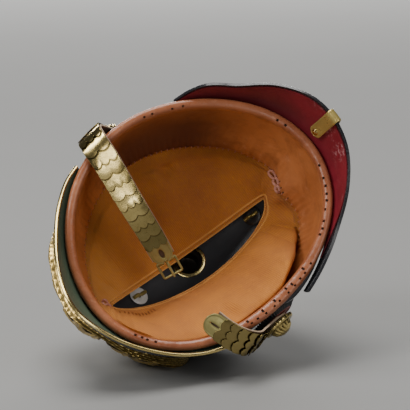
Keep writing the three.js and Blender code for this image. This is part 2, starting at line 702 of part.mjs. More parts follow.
function makeLoop(strap) {
  const { outer, bore, from, to, tongueStart, tongueEnd, tongueLow, tongueHigh } = LOOP;
  const joint = HINGE.along - bore - 0.3;
  const body = joined([
    hingeBar(outer, -to, -from, 12),
    hingeBar(outer, from, to, 12),
    block(-to, to, tongueStart, tongueEnd, tongueLow, tongueHigh),
    block(-to, -from, tongueEnd - 1, joint, tongueLow, tongueHigh),
    block(from, to, tongueEnd - 1, joint, tongueLow, tongueHigh),
  ]);
  return atEnd(cut(body, [hingeBar(bore, -to - 1, to + 1, 12)]), strap.end);
}

function makeFrame(strap) {
  const { half, bar, reach } = FRAME;
  const [near, far] = [HINGE.along, HINGE.along + reach];
  const [low, high] = [HINGE.out - bar, HINGE.out + bar];
  const pieces = [
    hingeBar(bar, -half, half, 12),
    block(-half - bar, -half + bar, near - bar, far + bar, low, high),
    block(half - bar, half + bar, near - bar, far + bar, low, high),
    block(-half, half, far - bar, far + bar, low, high),
  ];
  return hanging(joined(pieces), strap.end);
}

function makeProng(strap) {
  const { eye, bore, half, wall, start, tip, startOut, tipOut } = PRONG;
  const low = new THREE.Vector2(HINGE.along + start, HINGE.out + startOut);
  const high = new THREE.Vector2(HINGE.along + tip, HINGE.out + tipOut);
  const length = low.distanceTo(high);
  const rod = new THREE.BoxGeometry(2 * half, length, wall);
  rod.rotateX(Math.atan2(high.y - low.y, high.x - low.x));
  rod.translate(0, (low.x + high.x) / 2, (low.y + high.y) / 2);
  const ring = cut(hingeBar(eye, -half, half, 14), [hingeBar(bore, -half - 1, half + 1, 14)]);
  return hanging(cut(joined([ring, rod]), [hingeBar(bore, -half - 1, half + 1, 14)]), strap.end);
}

// Front plate: points by arc across, arc up and height over the plate's back
function platePoint(across, high, out) {
  const side = THREE.MathUtils.smoothstep(across, PROUD.leftFrom, PROUD.leftFull);
  const lower = 1 - THREE.MathUtils.smoothstep(high, PROUD.low, PROUD.high);
  const stand = PLATE.stand + lower * THREE.MathUtils.lerp(PROUD.right, PROUD.left, side);
  return skullPoint(across / PLATE.arc, high / PLATE.climb, stand + out);
}

// A feather: a tapered blade with a raised middle rib
function feather({ rootAcross, rootUp, tipAcross, tipUp, width }, relief, side) {
  const root = new THREE.Vector2(rootAcross, rootUp);
  const tip = new THREE.Vector2(tipAcross, tipUp);
  const wide = tip.clone().sub(root).normalize().rotateAround(new THREE.Vector2(), Math.PI / 2);
  const face = (u, v, top) => {
    const half = (width / 2) * Math.sin(Math.PI * (FEATHER.start + FEATHER.span * v)) ** FEATHER.fullness;
    const spot = root.clone().lerp(tip, v).addScaledVector(wide, (2 * u - 1) * half);
    const rib = u === 0.5 ? relief : RELIEF.edge;
    return platePoint(side * spot.x, spot.y, top ? rib : 0);
  };
  return sheetSolid(2, 2, (u, v) => face(u, v, true), (u, v) => face(u, v, false));
}

// A rounded boss of half an ellipsoid over the plate's back
function boss(across, high, half, tall, relief) {
  const dome = new THREE.SphereGeometry(1, 8, 4);
  const place = dome.getAttribute('position');
  for (let i = 0; i < place.count; i++) {
    const out = Math.max(0, place.getZ(i)) * relief;
    const spot = platePoint(across + half * place.getX(i), high + tall * place.getY(i), out);
    place.setXYZ(i, spot.x, spot.y, spot.z);
  }
  return dome;
}

function makePlate() {
  const bird = BIRD;
  const parts = [
    boss(0, bird.bodyUp, bird.bodyHalf, bird.bodyTall, bird.bodyRelief),
    boss(0, bird.headUp, bird.headHalf, bird.headTall, bird.headRelief),
    boss(-bird.beakReach, bird.beakUp, bird.beakReach, bird.beakTall, bird.beakRelief),
  ];
  for (const side of [1, -1]) {
    for (const row of WING) parts.push(feather(row, RELIEF.wing, side));
    for (const row of COVERTS) parts.push(feather(row, RELIEF.covert, side));
    const at = side * bird.shoulder;
    parts.push(boss(at, bird.shoulderUp, bird.shoulderHalf, bird.shoulderTall, bird.shoulderRelief));
  }
  for (const row of TAIL) parts.push(feather(row, RELIEF.tail, 1));
  return joined(parts);
}

const leftStrap = makeStrap(1, LEFT_PATH, LEFT_RUN);
const rightStrap = makeStrap(-1, RIGHT_PATH, RIGHT_RUN);

const COLOURS = {
  black: 0x16181d, tan: 0xb57a55, cloth: 0xb5702f, green: 0x4a5748, red: 0x8a2530,
  brass: 0xa88c46, white: 0xd8d6cf, brown: 0x3a2418, ribbon: 0x1b1b1e,
};

const helmet = new THREE.Group();

function add(name, geometry, colour) {
  const material = new THREE.MeshStandardMaterial({ color: COLOURS[colour] });
  const mesh = new THREE.Mesh(geometry, material);
  mesh.name = name;
  helmet.add(mesh);
}

add('skull', makeSkull(), 'black');
add('sweatband', makeSweatband(), 'tan');
add('lining', makeLining(), 'cloth');
add('front_visor', frontVisor.sheet(FRONT_STEPS, VISOR_LOW, VISOR_TOP), 'black');
add('front_visor_lining', frontVisor.sheet(FRONT_STEPS, 0, VISOR.under), 'green');
add('front_visor_trim', makeTrim(), 'brass');
add('rear_visor', rearVisor.sheet(REAR_STEPS, VISOR_LOW, VISOR_TOP), 'black');
add('rear_visor_lining', rearVisor.sheet(REAR_STEPS, 0, VISOR.under), 'red');
add('rear_spine', makeSpine(), 'brass');
add('rear_spine_rivet', makeRivet(), 'brass');
add('vent_ring', turned(VENT_PROFILE, VENT_STEPS), 'brass');
add('spike_base', makeBase(), 'brass');
add('pearl_ring', makePearls(), 'brass');
add('spike', turned(SPIKE_PROFILE, SPIKE_STEPS), 'brass');
for (const frame of studFrames) {
  add(`stud_${frame.name}`, makeStud(frame), 'brass');
  add(`stud_washer_${frame.name}`, makeWasher(frame), 'white');
}
add('front_plate', makePlate(), 'brass');
for (const [word, side, strap] of [['left', 1, leftStrap], ['right', -1, rightStrap]]) {
  add(`cockade_${word}`, makeCockade(side), 'ribbon');
  add(`rosette_${word}`, makeRosette(side), 'brass');
  add(`strap_${word}`, makeLeather(strap), 'brown');
  for (let i = 0; i < strap.plates; i++) {
    const label = String(i + 1).padStart(2, '0');
    add(`scale_${word}_${label}`, makeScale(strap, strap.first + i * strap.pitch, 2 + (i % 2)), 'brass');
  }
  add(`end_plate_${word}`, makeEndPlate(strap, word === 'left'), 'brass');
}
add('buckle_loop', makeLoop(leftStrap), 'brass');
add('buckle_frame', makeFrame(leftStrap), 'brass');
add('buckle_prong', makeProng(leftStrap), 'brass');

// Lay the helmet down, opening to -y, and set the origin at the bottom middle of its box
helmet.rotation.set(-deg(90 + LIE.dip), 0, deg(90 + LIE.side));
helmet.updateMatrixWorld(true);
const box = new THREE.Box3().setFromObject(helmet, true);
const middle = box.getCenter(new THREE.Vector3());
helmet.position.set(-middle.x, -middle.y, -box.min.z);

const group = new THREE.Group();
group.name = 'pickelhaube';
group.add(helmet);

export default group;
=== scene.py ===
import functools
import math
import random

import bmesh
import bpy
from mathutils import Matrix, Vector, noise


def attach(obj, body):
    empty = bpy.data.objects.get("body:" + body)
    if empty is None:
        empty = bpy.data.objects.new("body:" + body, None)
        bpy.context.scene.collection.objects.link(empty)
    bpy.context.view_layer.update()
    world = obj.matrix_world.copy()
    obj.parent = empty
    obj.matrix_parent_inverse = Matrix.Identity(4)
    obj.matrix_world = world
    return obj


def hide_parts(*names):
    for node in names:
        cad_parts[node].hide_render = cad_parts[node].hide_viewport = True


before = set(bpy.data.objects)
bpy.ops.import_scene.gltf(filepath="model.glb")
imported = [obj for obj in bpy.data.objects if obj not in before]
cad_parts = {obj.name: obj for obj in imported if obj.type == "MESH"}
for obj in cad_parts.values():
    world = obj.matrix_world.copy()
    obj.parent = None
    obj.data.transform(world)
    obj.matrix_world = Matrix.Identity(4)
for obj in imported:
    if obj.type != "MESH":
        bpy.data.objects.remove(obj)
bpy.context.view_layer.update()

# Helmet's own frame in millimetres: x ahead, y to the wearer's left, z up to the crown
LIE_SIDE = math.radians(50.2)
LIE_DIP = math.radians(30.1)
LIE_AT = Vector((-1.51897, -53.68926, 107.3245))
UP = Vector((0, 0, 1))
TO_WORLD = (
    Matrix.Scale(0.001, 4)
    @ Matrix.Translation(LIE_AT)
    @ Matrix.Rotation(-math.pi / 2 - LIE_DIP, 4, "X")
    @ Matrix.Rotation(math.pi / 2 + LIE_SIDE, 4, "Z")
)

# Gap between pieces that sit on each other
SEAT = 0.3

# Leather dome
HALF_LENGTH = 102.0
HALF_WIDTH = 88.2
DOME_HEIGHT = 110.0
DOME_FULLNESS = 2.3
DOME_WALL = 2.4
DOME_VENT = 12.0
WARP_SHARE = 0.0277
WARP_TURN = math.radians(-36.1)


def blend(low, high, share):
    return low + (high - low) * share


def clamp(value, low=0.0, high=1.0):
    return min(max(value, low), high)


def ease(value, low, high):
    share = clamp((value - low) / (high - low))
    return share * share * (3 - 2 * share)


def hump(value, rise_from, rise_to, fall_from, fall_to):
    """Eases from 0 to 1 and back to 0."""
    return ease(value, rise_from, rise_to) * (1 - ease(value, fall_from, fall_to))


def bell(value, middle, spread):
    return math.exp(-(((value - middle) / spread) ** 2))


def round_point(turn, reach, rise):
    return Vector((reach * math.cos(turn), reach * math.sin(turn), rise))


def oval_radius(turn):
    plain = 1 / math.hypot(math.cos(turn) / HALF_LENGTH, math.sin(turn) / HALF_WIDTH)
    return plain * (1 + WARP_SHARE * math.cos(3 * (turn - WARP_TURN)))


def dome_skin(turn, climb):
    reach = oval_radius(turn) * max(0.0, math.cos(climb)) ** (2 / DOME_FULLNESS)
    rise = DOME_HEIGHT * max(0.0, math.sin(climb)) ** (2 / DOME_FULLNESS)
    return round_point(turn, reach, rise)


def dome_normal(turn, climb):
    step = 0.002
    mid = clamp(climb, step, math.pi / 2 - 2 * step)
    around = dome_skin(turn + step, mid) - dome_skin(turn - step, mid)
    upward = dome_skin(turn, mid + step) - dome_skin(turn, mid - step)
    return around.cross(upward).normalized()


def dome_point(turn, climb, out):
    return dome_skin(turn, climb) + dome_normal(turn, climb) * out


def climb_at_rise(rise):
    return math.asin(clamp(rise / DOME_HEIGHT) ** (DOME_FULLNESS / 2))


def climb_at_reach(turn, reach):
    return math.acos(clamp(reach / oval_radius(turn)) ** (DOME_FULLNESS / 2))


def wall_point(turn, rise, inset):
    if rise > 0:
        return dome_point(turn, climb_at_rise(rise), -inset)
    flat = dome_normal(turn, 0)
    flat.z = 0
    spot = dome_skin(turn, 0) - flat.normalized() * inset
    spot.z = rise
    return spot


def curve_pieces(points, spans):
    pieces = []
    for i in range(len(points) - 3):
        before, start, end, after = points[i : i + 4]
        gap, span, next_gap = spans[i : i + 3]
        step = (end - start) / span
        leave = ((start - before) / gap - (end - before) / (gap + span) + step) * span
        reach = (step - (after - start) / (span + next_gap) + (after - end) / next_gap) * span
        bend = (end - start) * 3 - leave * 2 - reach
        twist = (start - end) * 2 + leave + reach
        pieces.append((start, leave, bend, twist))
    return pieces


def curve_through(points, closed=False):
    """Smooth curve through points, as a function of a share from 0 to 1."""
    if closed:
        line = [points[-1], *points, points[0], points[1]]
    else:
        line = [points[0] * 2 - points[1], *points, points[-1] * 2 - points[-2]]
    spans = [max((b - a).length ** 0.5, 1e-3) for a, b in zip(line, line[1:])]
    pieces = curve_pieces(line, spans)

    def at(share):
        spot = clamp(share) * len(pieces)
        i = min(int(spot), len(pieces) - 1)
        t = spot - i
        start, leave, bend, twist = pieces[i]
        return start + (leave + (bend + twist * t) * t) * t

    return at


# Shapes from a unit grid: place gives a point for two shares and a side, tone a shade there
GRID_END = 0.4999
MERGE = 1e-4


def add_layers(shape):
    """The weave map and the tone that the finishes read."""
    return shape.loops.layers.uv.new("weave"), shape.verts.layers.float.new("tone")


def face_shares(face, chart):
    """Middle of a face, as the shares of the grid that it was made from."""
    spots = [loop[chart].uv for loop in face.loops]
    return sum(spot.x for spot in spots) / len(spots), sum(spot.y for spot in spots) / len(spots)


def grid_start(columns, rows):
    shape = bmesh.new()
    bmesh.ops.create_grid(shape, x_segments=columns, y_segments=rows, size=0.5)
    return shape


def grid_finish(shape, place, tone, weave):
    chart, shades = add_layers(shape)
    spots = {vert: (vert.co.x + 0.5, vert.co.y + 0.5, vert.co.z) for vert in shape.verts}
    for face in shape.faces:
        for loop in face.loops:
            across, along, side = spots[loop.vert]
            loop[chart].uv = weave(across, along) if weave else (across, along)
    for vert, (across, along, side) in spots.items():
        vert[shades] = tone(across, along, side) if tone else 0.0
        vert.co = place(across, along, side)
    bmesh.ops.remove_doubles(shape, verts=shape.verts, dist=MERGE)


def slab(place, columns, rows, closed=False, tone=None, weave=None):
    """Wall of two skins, side 0 and side 1, closed round the first share if asked."""
    shape = grid_start(columns, rows)
    grown = bmesh.ops.extrude_face_region(shape, geom=shape.faces[:], use_keep_orig=True)
    for item in grown["geom"]:
        if isinstance(item, bmesh.types.BMVert):
            item.co.z = 1.0
    if closed:
        ends = [face for face in shape.faces if abs(face.calc_center_median().x) > GRID_END]
        bmesh.ops.delete(shape, geom=ends, context="FACES_ONLY")
    grid_finish(shape, place, tone, weave)
    bmesh.ops.recalc_face_normals(shape, faces=shape.faces)
    return shape


def loft(place, columns, rows, closed=False, tone=None):
    """Skin over a run whose section closes on itself, capped at both ends unless the run is closed."""
    shape = grid_start(columns, rows)
    grid_finish(shape, lambda across, along, side: place(across, along), tone, None)
    if not closed:
        rims = [edge for edge in shape.edges if edge.is_boundary]
        bmesh.ops.holes_fill(shape, edges=rims, sides=0)
    bmesh.ops.recalc_face_normals(shape, faces=shape.faces)
    return shape


def turned(profile, steps, closed=False):
    """Piece turned about z from radius and height pairs, closed on itself when it has a bore."""
    shape = bmesh.new()
    corners = [shape.verts.new((radius, 0, height)) for radius, height in profile]
    for start, end in zip(corners, corners[1:]):
        shape.edges.new((start, end))
    if closed:
        shape.edges.new((corners[-1], corners[0]))
    outline = shape.verts[:] + shape.edges[:]
    bmesh.ops.spin(
        shape,
        geom=outline,
        cent=(0, 0, 0),
        axis=(0, 0, 1),
        dvec=(0, 0, 0),
        angle=math.tau,
        steps=steps,
        use_merge=True,
    )
    bmesh.ops.remove_doubles(shape, verts=shape.verts, dist=MERGE)
    bmesh.ops.recalc_face_normals(shape, faces=shape.faces)
    add_layers(shape)
    return shape


def frame_matrix(origin, axis, ahead):
    """Frame on a point with z along an axis and x as near as can be along another."""
    high = axis.normalized()
    side = high.cross(ahead).normalized()
    front = side.cross(high)
    turn = Matrix((front, side, high)).transposed().to_4x4()
    return Matrix.Translation(origin) @ turn


def moved(shape, matrix):
    bmesh.ops.transform(shape, matrix=matrix, verts=shape.verts)
    return shape


def gathered(shapes):
    whole = bmesh.new()
    for shape in shapes:
        mesh = bpy.data.meshes.new("part")
        shape.to_mesh(mesh)
        shape.free()
        whole.from_mesh(mesh)
        bpy.data.meshes.remove(mesh)
    return whole


def bead(origin, long_way, out_way, long_half, wide_half, high_half, rounds=8, rings=5):
    """Small rounded bead, long one way, such as a stitch."""
    shape = bmesh.new()
    bmesh.ops.create_uvsphere(shape, u_segments=rounds, v_segments=rings, radius=1.0)
    size = Matrix.Diagonal((long_half, wide_half, high_half, 1))
    add_layers(shape)
    return moved(shape, frame_matrix(origin, out_way, long_way) @ size)


def rod(points, radius, columns=40, sides=10, closed=False, tone=0.0):
    """Round rod along a smooth line; radius is a number or a function of the share along it."""
    line = curve_through(points, closed)
    frames = []
    facing = None
    for i in range(columns + 1):
        share = i / columns
        step = 0.5 / columns
        if closed:
            ahead = line((share + step) % 1.0) - line((share - step) % 1.0)
        else:
            ahead = line(share + step) - line(share - step)
        ahead.normalize()
        if facing is None:
            facing = ahead.orthogonal().normalized()
        facing = (facing - ahead * facing.dot(ahead)).normalized()
        frames.append((line(share % 1.0 if closed else share), facing, ahead.cross(facing)))
    count = columns if closed else columns + 1

    def place(across, along):
        origin, one_way, other_way = frames[round(across * columns) % count]
        angle = math.tau * along
        size = radius(across) if callable(radius) else radius
        return origin + one_way * (size * math.cos(angle)) + other_way * (size * math.sin(angle))

    return loft(place, columns, sides, closed, tone=lambda across, along, side: tone)


def piece(name, shape, finishes, nodes=(), body="helmet", sharp=40, rounding=0.0):
    moved(shape, TO_WORLD)
    mesh = bpy.data.meshes.new(name)
    shape.to_mesh(mesh)
    shape.free()
    for finish in finishes:
        mesh.materials.append(finish)
    mesh.shade_smooth()
    mesh.set_sharp_from_angle(angle=math.radians(sharp))
    made = bpy.data.objects.new(name, mesh)
    bpy.context.scene.collection.objects.link(made)
    if rounding:
        edge = made.modifiers.new("rounded_edges", "BEVEL")
        edge.width = rounding * 0.001
        edge.segments = 2
        edge.limit_method = "ANGLE"
        edge.angle_limit = math.radians(sharp)
    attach(made, body)
    if nodes:
        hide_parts(*nodes)
    return made


# Finishes
TWILL_SLANT = math.radians(62)


def new_finish(name, metal=0.0):
    finish = bpy.data.materials.new(name)
    finish.use_nodes = True
    shader_of(finish).inputs["Metallic"].default_value = metal
    return finish


def shader_of(finish):
    return finish.node_tree.nodes["Principled BSDF"]


def plug(finish, value, socket):
    if isinstance(value, bpy.types.NodeSocket):
        finish.node_tree.links.new(value, socket)
    else:
        socket.default_value = value


def add_node(finish, kind, inputs=None, **settings):
    node = finish.node_tree.nodes.new("ShaderNode" + kind)
    for key, value in settings.items():
        setattr(node, key, value)
    for key, value in (inputs or {}).items():
        plug(finish, value, node.inputs[key])
    return node


def place_of(finish):
    return add_node(finish, "TexCoord").outputs["Object"]


def tone_of(finish):
    return add_node(finish, "Attribute", attribute_name="tone").outputs["Fac"]


def clouds(finish, where, scale, detail=4.0, rough=0.6, bend=0.0):
    settings = {"Vector": where, "Scale": scale, "Detail": detail}
    settings |= {"Roughness": rough, "Distortion": bend}
    return add_node(finish, "TexNoise", settings).outputs[0]


def waves(finish, where, scale, bend, detail, detail_scale=1.0):
    settings = {"Vector": where, "Scale": scale, "Distortion": bend}
    settings |= {"Detail": detail, "Detail Scale": detail_scale}
    return add_node(finish, "TexWave", settings).outputs[1]


def cells(finish, where, scale, feature="F1"):
    node = add_node(finish, "TexVoronoi", {"Vector": where, "Scale": scale}, feature=feature)
    return node.outputs["Distance"]


def steps_of(finish, value, low, high, start=0.0, end=1.0):
    settings = {"Value": value, "From Min": low, "From Max": high, "To Min": start, "To Max": end}
    return add_node(finish, "MapRange", settings, clamp=True).outputs["Result"]


def arithmetic(finish, kind, first, second):
    node = add_node(finish, "Math", operation=kind)
    plug(finish, first, node.inputs[0])
    plug(finish, second, node.inputs[1])
    return node.outputs[0]


def times(finish, first, second):
    return arithmetic(finish, "MULTIPLY", first, second)


def colours(finish, share, first, second):
    node = add_node(finish, "Mix", data_type="RGBA")
    plug(finish, share, node.inputs[0])
    for colour, socket in ((first, node.inputs[6]), (second, node.inputs[7])):
        plug(finish, colour if isinstance(colour, bpy.types.NodeSocket) else (*colour, 1), socket)
    return node.outputs[2]


def bumps(finish, height, depth, strength=1.0, under=None):
    settings = {"Height": height, "Distance": depth, "Strength": strength}
    if under is not None:
        settings["Normal"] = under
    return add_node(finish, "Bump", settings).outputs["Normal"]


def dress(finish, colour, rough, normal):
    shader = shader_of(finish)
    plug(finish, colour, shader.inputs["Base Color"])
    plug(finish, rough, shader.inputs["Roughness"])
    plug(finish, normal, shader.inputs["Normal"])
    return finish


def black_leather_finish(name):
    """Polished black leather, finely crackled, with brown scuffs; greyer with a painted sheen and duller
    where tone is 1.
    """
    finish = new_finish(name)
    where = place_of(finish)
    broad = clouds(finish, where, 22.0)
    fine = clouds(finish, where, 260.0)
    crack = steps_of(finish, cells(finish, where, 210.0, "DISTANCE_TO_EDGE"), 0.0, 0.06, 1.0, 0.0)
    scuff = steps_of(finish, clouds(finish, where, 75.0, 8.0, 0.75), 0.64, 0.74)
    colour = colours(finish, broad, (0.008, 0.009, 0.012), (0.022, 0.023, 0.028))
    colour = colours(finish, times(finish, crack, 0.3), colour, (0.05, 0.04, 0.035))
    colour = colours(finish, times(finish, scuff, 0.55), colour, (0.13, 0.095, 0.075))
    raw_with_sheen = tone_of(finish)
    # Painted sheen: the inner skin is greyed
    colour = colours(finish, raw_with_sheen, colour, (0.052, 0.053, 0.058))
    rough = steps_of(finish, fine, 0.3, 0.7, 0.2, 0.34)
    rough = arithmetic(finish, "ADD", rough, times(finish, scuff, 0.3))
    rough = arithmetic(finish, "ADD", rough, times(finish, raw_with_sheen, 0.12))
    normal = bumps(finish, fine, 0.00012, 0.35)
    normal = bumps(finish, crack, -0.00005, 0.25, normal)
    normal = bumps(finish, broad, 0.0015, 0.35, normal)
    return dress(finish, colour, rough, normal)


def band_leather_finish(name):
    """Tan leather, orange and dull inside, pink and shiny on the roll at tone 1, darkened with painted
    shade below tone 0.
    """
    finish = new_finish(name)
    where = place_of(finish)
    roll = tone_of(finish)
    broad = clouds(finish, where, 16.0, 5.0, 0.65)
    fine = clouds(finish, where, 140.0, 6.0, 0.7)
    patch = steps_of(finish, broad, 0.3, 0.7)
    inside = colours(finish, patch, (0.34, 0.105, 0.030), (0.58, 0.215, 0.068))
    outside = colours(finish, patch, (0.22, 0.064, 0.028), (0.42, 0.15, 0.066))
    colour = colours(finish, roll, inside, outside)
    stain_and_painted_shade = steps_of(finish, clouds(finish, where, 48.0, 7.0, 0.7, 0.6), 0.5, 0.68)
    colour = colours(finish, times(finish, stain_and_painted_shade, 0.5), colour, (0.17, 0.045, 0.014))
    wear_and_painted_light = steps_of(finish, fine, 0.58, 0.72)
    colour = colours(finish, times(finish, wear_and_painted_light, 0.35), colour, (0.66, 0.32, 0.17))
    # Painted shade: the band is darkened where its tone falls below 0
    painted_top_shade = times(finish, roll, -1.0)
    colour = colours(finish, painted_top_shade, colour, (0.075, 0.018, 0.006))
    rough = steps_of(finish, fine, 0.3, 0.7, 0.38, 0.55)
    rough = arithmetic(finish, "SUBTRACT", rough, times(finish, roll, 0.16))
    grain = cells(finish, where, 900.0)
    normal = bumps(finish, grain, 0.00012, 0.35)
    normal = bumps(finish, fine, 0.0004, 0.4, normal)
    return dress(finish, colour, rough, normal)


def cloth_finish(name):
    """Ribbed lining cloth; the weave map is in centimetres, ribs running from rim to slit."""
    finish = new_finish(name)
    where = place_of(finish)
    chart = add_node(finish, "UVMap", uv_map="weave").outputs["UV"]
    rib = waves(finish, chart, 2.3, 0.35, 2.0, 3.0)
    slant = {"Vector": chart, "Rotation": (0, 0, TWILL_SLANT)}
    twill = waves(finish, add_node(finish, "Mapping", slant).outputs[0], 3.7, 0.3, 1.0)
    broad = clouds(finish, where, 14.0, 5.0, 0.6)
    fibre = clouds(finish, where, 420.0, 3.0, 0.7)
    patch = steps_of(finish, broad, 0.3, 0.7)
    colour = colours(finish, patch, (0.37, 0.120, 0.018), (0.57, 0.210, 0.024))
    mottle = steps_of(finish, clouds(finish, where, 85.0, 6.0, 0.7), 0.4, 0.7)
    colour = colours(finish, times(finish, mottle, 0.3), colour, (0.26, 0.075, 0.016))
    # Painted shade in the grooves between the ribs
    painted_rib_shade = times(finish, rib, 0.32)
    colour = colours(finish, painted_rib_shade, colour, (0.22, 0.06, 0.012))
    flecks = times(finish, steps_of(finish, fibre, 0.5, 0.75), 0.22)
    colour = colours(finish, flecks, colour, (0.66, 0.29, 0.04))
    # Painted light: the hem's edges and a patch at the front left are paler where tone is 1
    wear_and_painted_light = times(finish, tone_of(finish), 0.7)
    colour = colours(finish, wear_and_painted_light, colour, (0.74, 0.36, 0.08))
    weave = arithmetic(finish, "ADD", times(finish, rib, 0.7), times(finish, twill, 0.45))
    normal = bumps(finish, weave, 0.0003, 0.8)
    normal = bumps(finish, broad, 0.0022, 0.35, normal)
    shader_of(finish).inputs["Sheen Weight"].default_value = 0.03
    return dress(finish, colour, steps_of(finish, fibre, 0.3, 0.7, 0.72, 0.9), normal)


def lining_leather_finish(name, deep, bright, scuffed, scuff_share):
    """Coloured leather under a visor, rubbed pale where tone is 1 and darkened with painted shade where it
    is -1.
    """
    finish = new_finish(name)
    where = place_of(finish)
    broad = clouds(finish, where, 20.0, 5.0, 0.65)
    fine = clouds(finish, where, 330.0, 5.0, 0.7)
    colour = colours(finish, steps_of(finish, broad, 0.3, 0.7), deep, bright)
    patch = steps_of(finish, clouds(finish, where, 60.0, 3.0, 0.6), 0.52, 0.66)
    rub = times(finish, steps_of(finish, fine, 0.52, 0.62), patch)
    rub = times(finish, rub, tone_of(finish))
    colour = colours(finish, times(finish, rub, scuff_share), colour, scuffed)
    # Painted shade: the leather is darkened where tone is below 0
    painted_shade = times(finish, tone_of(finish), -1.0)
    colour = colours(finish, painted_shade, colour, (0.02, 0.006, 0.006))
    grain = cells(finish, where, 1100.0)
    normal = bumps(finish, grain, 0.0001, 0.45)
    normal = bumps(finish, broad, 0.0012, 0.3, normal)
    return dress(finish, colour, steps_of(finish, fine, 0.3, 0.7, 0.38, 0.55), normal)


def brass_finish(name, bright, dull, dark, patina, smooth, grimy, metal=1.0):
    """Old brass: bright where rubbed, darkened where tone is 1: patina in its recesses, and painted shade
    on the chin scales.
    """
    finish = new_finish(name, metal=metal)
    where = place_of(finish)
    broad = clouds(finish, where, 55.0, 6.0, 0.7)
    fine = clouds(finish, where, 420.0, 4.0, 0.7)
    colour = colours(finish, steps_of(finish, broad, 0.35, 0.68), bright, dull)
    spots = steps_of(finish, fine, 0.58, 0.74)
    colour = colours(finish, times(finish, spots, patina), colour, dark)
    colour = colours(finish, tone_of(finish), colour, dark)
    rough = steps_of(finish, broad, 0.3, 0.7, smooth, grimy)
    rough = arithmetic(finish, "ADD", rough, times(finish, spots, 0.15))
    normal = bumps(finish, broad, 0.0003, 0.15)
    normal = bumps(finish, fine, 0.00006, 0.4, normal)
    return dress(finish, colour, rough, normal)


def plain_metal_finish(name, light, dull):
    """Tinned white metal with faint tarnish."""
    finish = new_finish(name, metal=0.1)
    where = place_of(finish)
    broad = clouds(finish, where, 120.0, 5.0, 0.7)
    colour = colours(finish, steps_of(finish, broad, 0.42, 0.72), light, dull)
    normal = bumps(finish, clouds(finish, where, 700.0), 0.00006, 0.4)
    return dress(finish, colour, steps_of(finish, broad, 0.3, 0.7, 0.25, 0.42), normal)


def paint_finish(name, fresh, painted_light_patch):
    """Old lacquer on stamped metal."""
    finish = new_finish(name)
    where = place_of(finish)
    broad = clouds(finish, where, 130.0, 6.0, 0.7)
    fine = clouds(finish, where, 900.0, 3.0, 0.6)
    colour = colours(finish, steps_of(finish, broad, 0.45, 0.75), fresh, painted_light_patch)
    normal = bumps(finish, fine, 0.00006, 0.5)
    return dress(finish, colour, steps_of(finish, fine, 0.3, 0.7, 0.32, 0.5), normal)


def strap_finish(name):
    """Strap leather, dark on its faces and pale where its edge is cut, where tone is 1."""
    finish = new_finish(name)
    where = place_of(finish)
    broad = clouds(finish, where, 60.0, 5.0, 0.65)
    fine = clouds(finish, where, 500.0, 4.0, 0.7)
    face = colours(finish, broad, (0.055, 0.028, 0.016), (0.14, 0.075, 0.042))
    edge = colours(finish, broad, (0.36, 0.25, 0.16), (0.55, 0.42, 0.29))
    colour = colours(finish, tone_of(finish), face, edge)
    normal = bumps(finish, fine, 0.0002, 0.5)
    return dress(finish, colour, steps_of(finish, fine, 0.3, 0.7, 0.55, 0.75), normal)


def thread_finish(name, light, dark):
    """Twisted thread."""
    finish = new_finish(name)
    where = place_of(finish)
    fine = clouds(finish, where, 1500.0, 3.0, 0.7)
    broad = clouds(finish, where, 90.0, 3.0, 0.6)
    colour = colours(finish, broad, dark, light)
    normal = bumps(finish, fine, 0.0002, 0.6)
    return dress(finish, colour, steps_of(finish, fine, 0.3, 0.7, 0.7, 0.9), normal)


BLACK_LEATHER = black_leather_finish("black_polished_leather")
BAND_LEATHER = band_leather_finish("tan_band_leather")
# Painted shade: near black for the stitch holes, the dark beads standing for holes along the band's edge,
# the spike base's bore and the spike's foot
HOLE_SHADE = thread_finish("painted_hole_shade", (0.02, 0.01, 0.006), (0.01, 0.005, 0.003))
CLOTH = cloth_finish("ribbed_lining_cloth")
GREEN_LEATHER = lining_leather_finish(
    "green_visor_leather", (0.055, 0.082, 0.052), (0.09, 0.128, 0.084), (0.24, 0.28, 0.2), 0.4
)
RED_LEATHER = lining_leather_finish(
    "red_visor_leather", (0.17, 0.010, 0.018), (0.29, 0.020, 0.034), (0.62, 0.33, 0.34), 0.9
)
BRASS = brass_finish(
    "aged_brass", (0.84, 0.66, 0.27), (0.58, 0.44, 0.16), (0.12, 0.09, 0.03), 0.5, 0.1, 0.25
)
TRIM_BRASS = brass_finish(
    "bright_trim_brass", (0.76, 0.60, 0.26), (0.56, 0.43, 0.16), (0.2, 0.14, 0.05), 0.3, 0.14, 0.28
)
RELIEF_BRASS = brass_finish(
    "worn_relief_brass", (0.78, 0.57, 0.20), (0.52, 0.37, 0.12), (0.08, 0.05, 0.016), 0.5, 0.24, 0.4
)
DULL_BRASS = brass_finish(
    "dull_buckle_brass", (0.40, 0.35, 0.13), (0.27, 0.23, 0.08), (0.10, 0.08, 0.025), 0.4, 0.3, 0.42, 0.6
)
SPINE_BRASS = brass_finish(
    "rubbed_spine_brass", (0.62, 0.48, 0.15), (0.44, 0.33, 0.10), (0.14, 0.10, 0.03), 0.4, 0.24, 0.38, 0.6
)
WHITE_METAL = plain_metal_finish("tinned_white_metal", (0.92, 0.91, 0.88), (0.72, 0.7, 0.65))
# Painted shade: a dark copy of the white metal for the rear washer, which lies in shadow
SHADED_WHITE_METAL = plain_metal_finish("shaded_white_metal", (0.05, 0.045, 0.04), (0.025, 0.022, 0.02))
BLACK_PAINT = paint_finish("cockade_black", (0.010, 0.010, 0.012), (0.03, 0.028, 0.028))
WHITE_PAINT = paint_finish("cockade_white", (0.62, 0.58, 0.52), (0.4, 0.34, 0.28))
RED_PAINT = paint_finish("cockade_red", (0.26, 0.03, 0.02), (0.16, 0.03, 0.02))
STRAP_LEATHER = strap_finish("strap_leather")
THREAD = thread_finish("tan_thread", (0.52, 0.25, 0.08), (0.3, 0.12, 0.035))
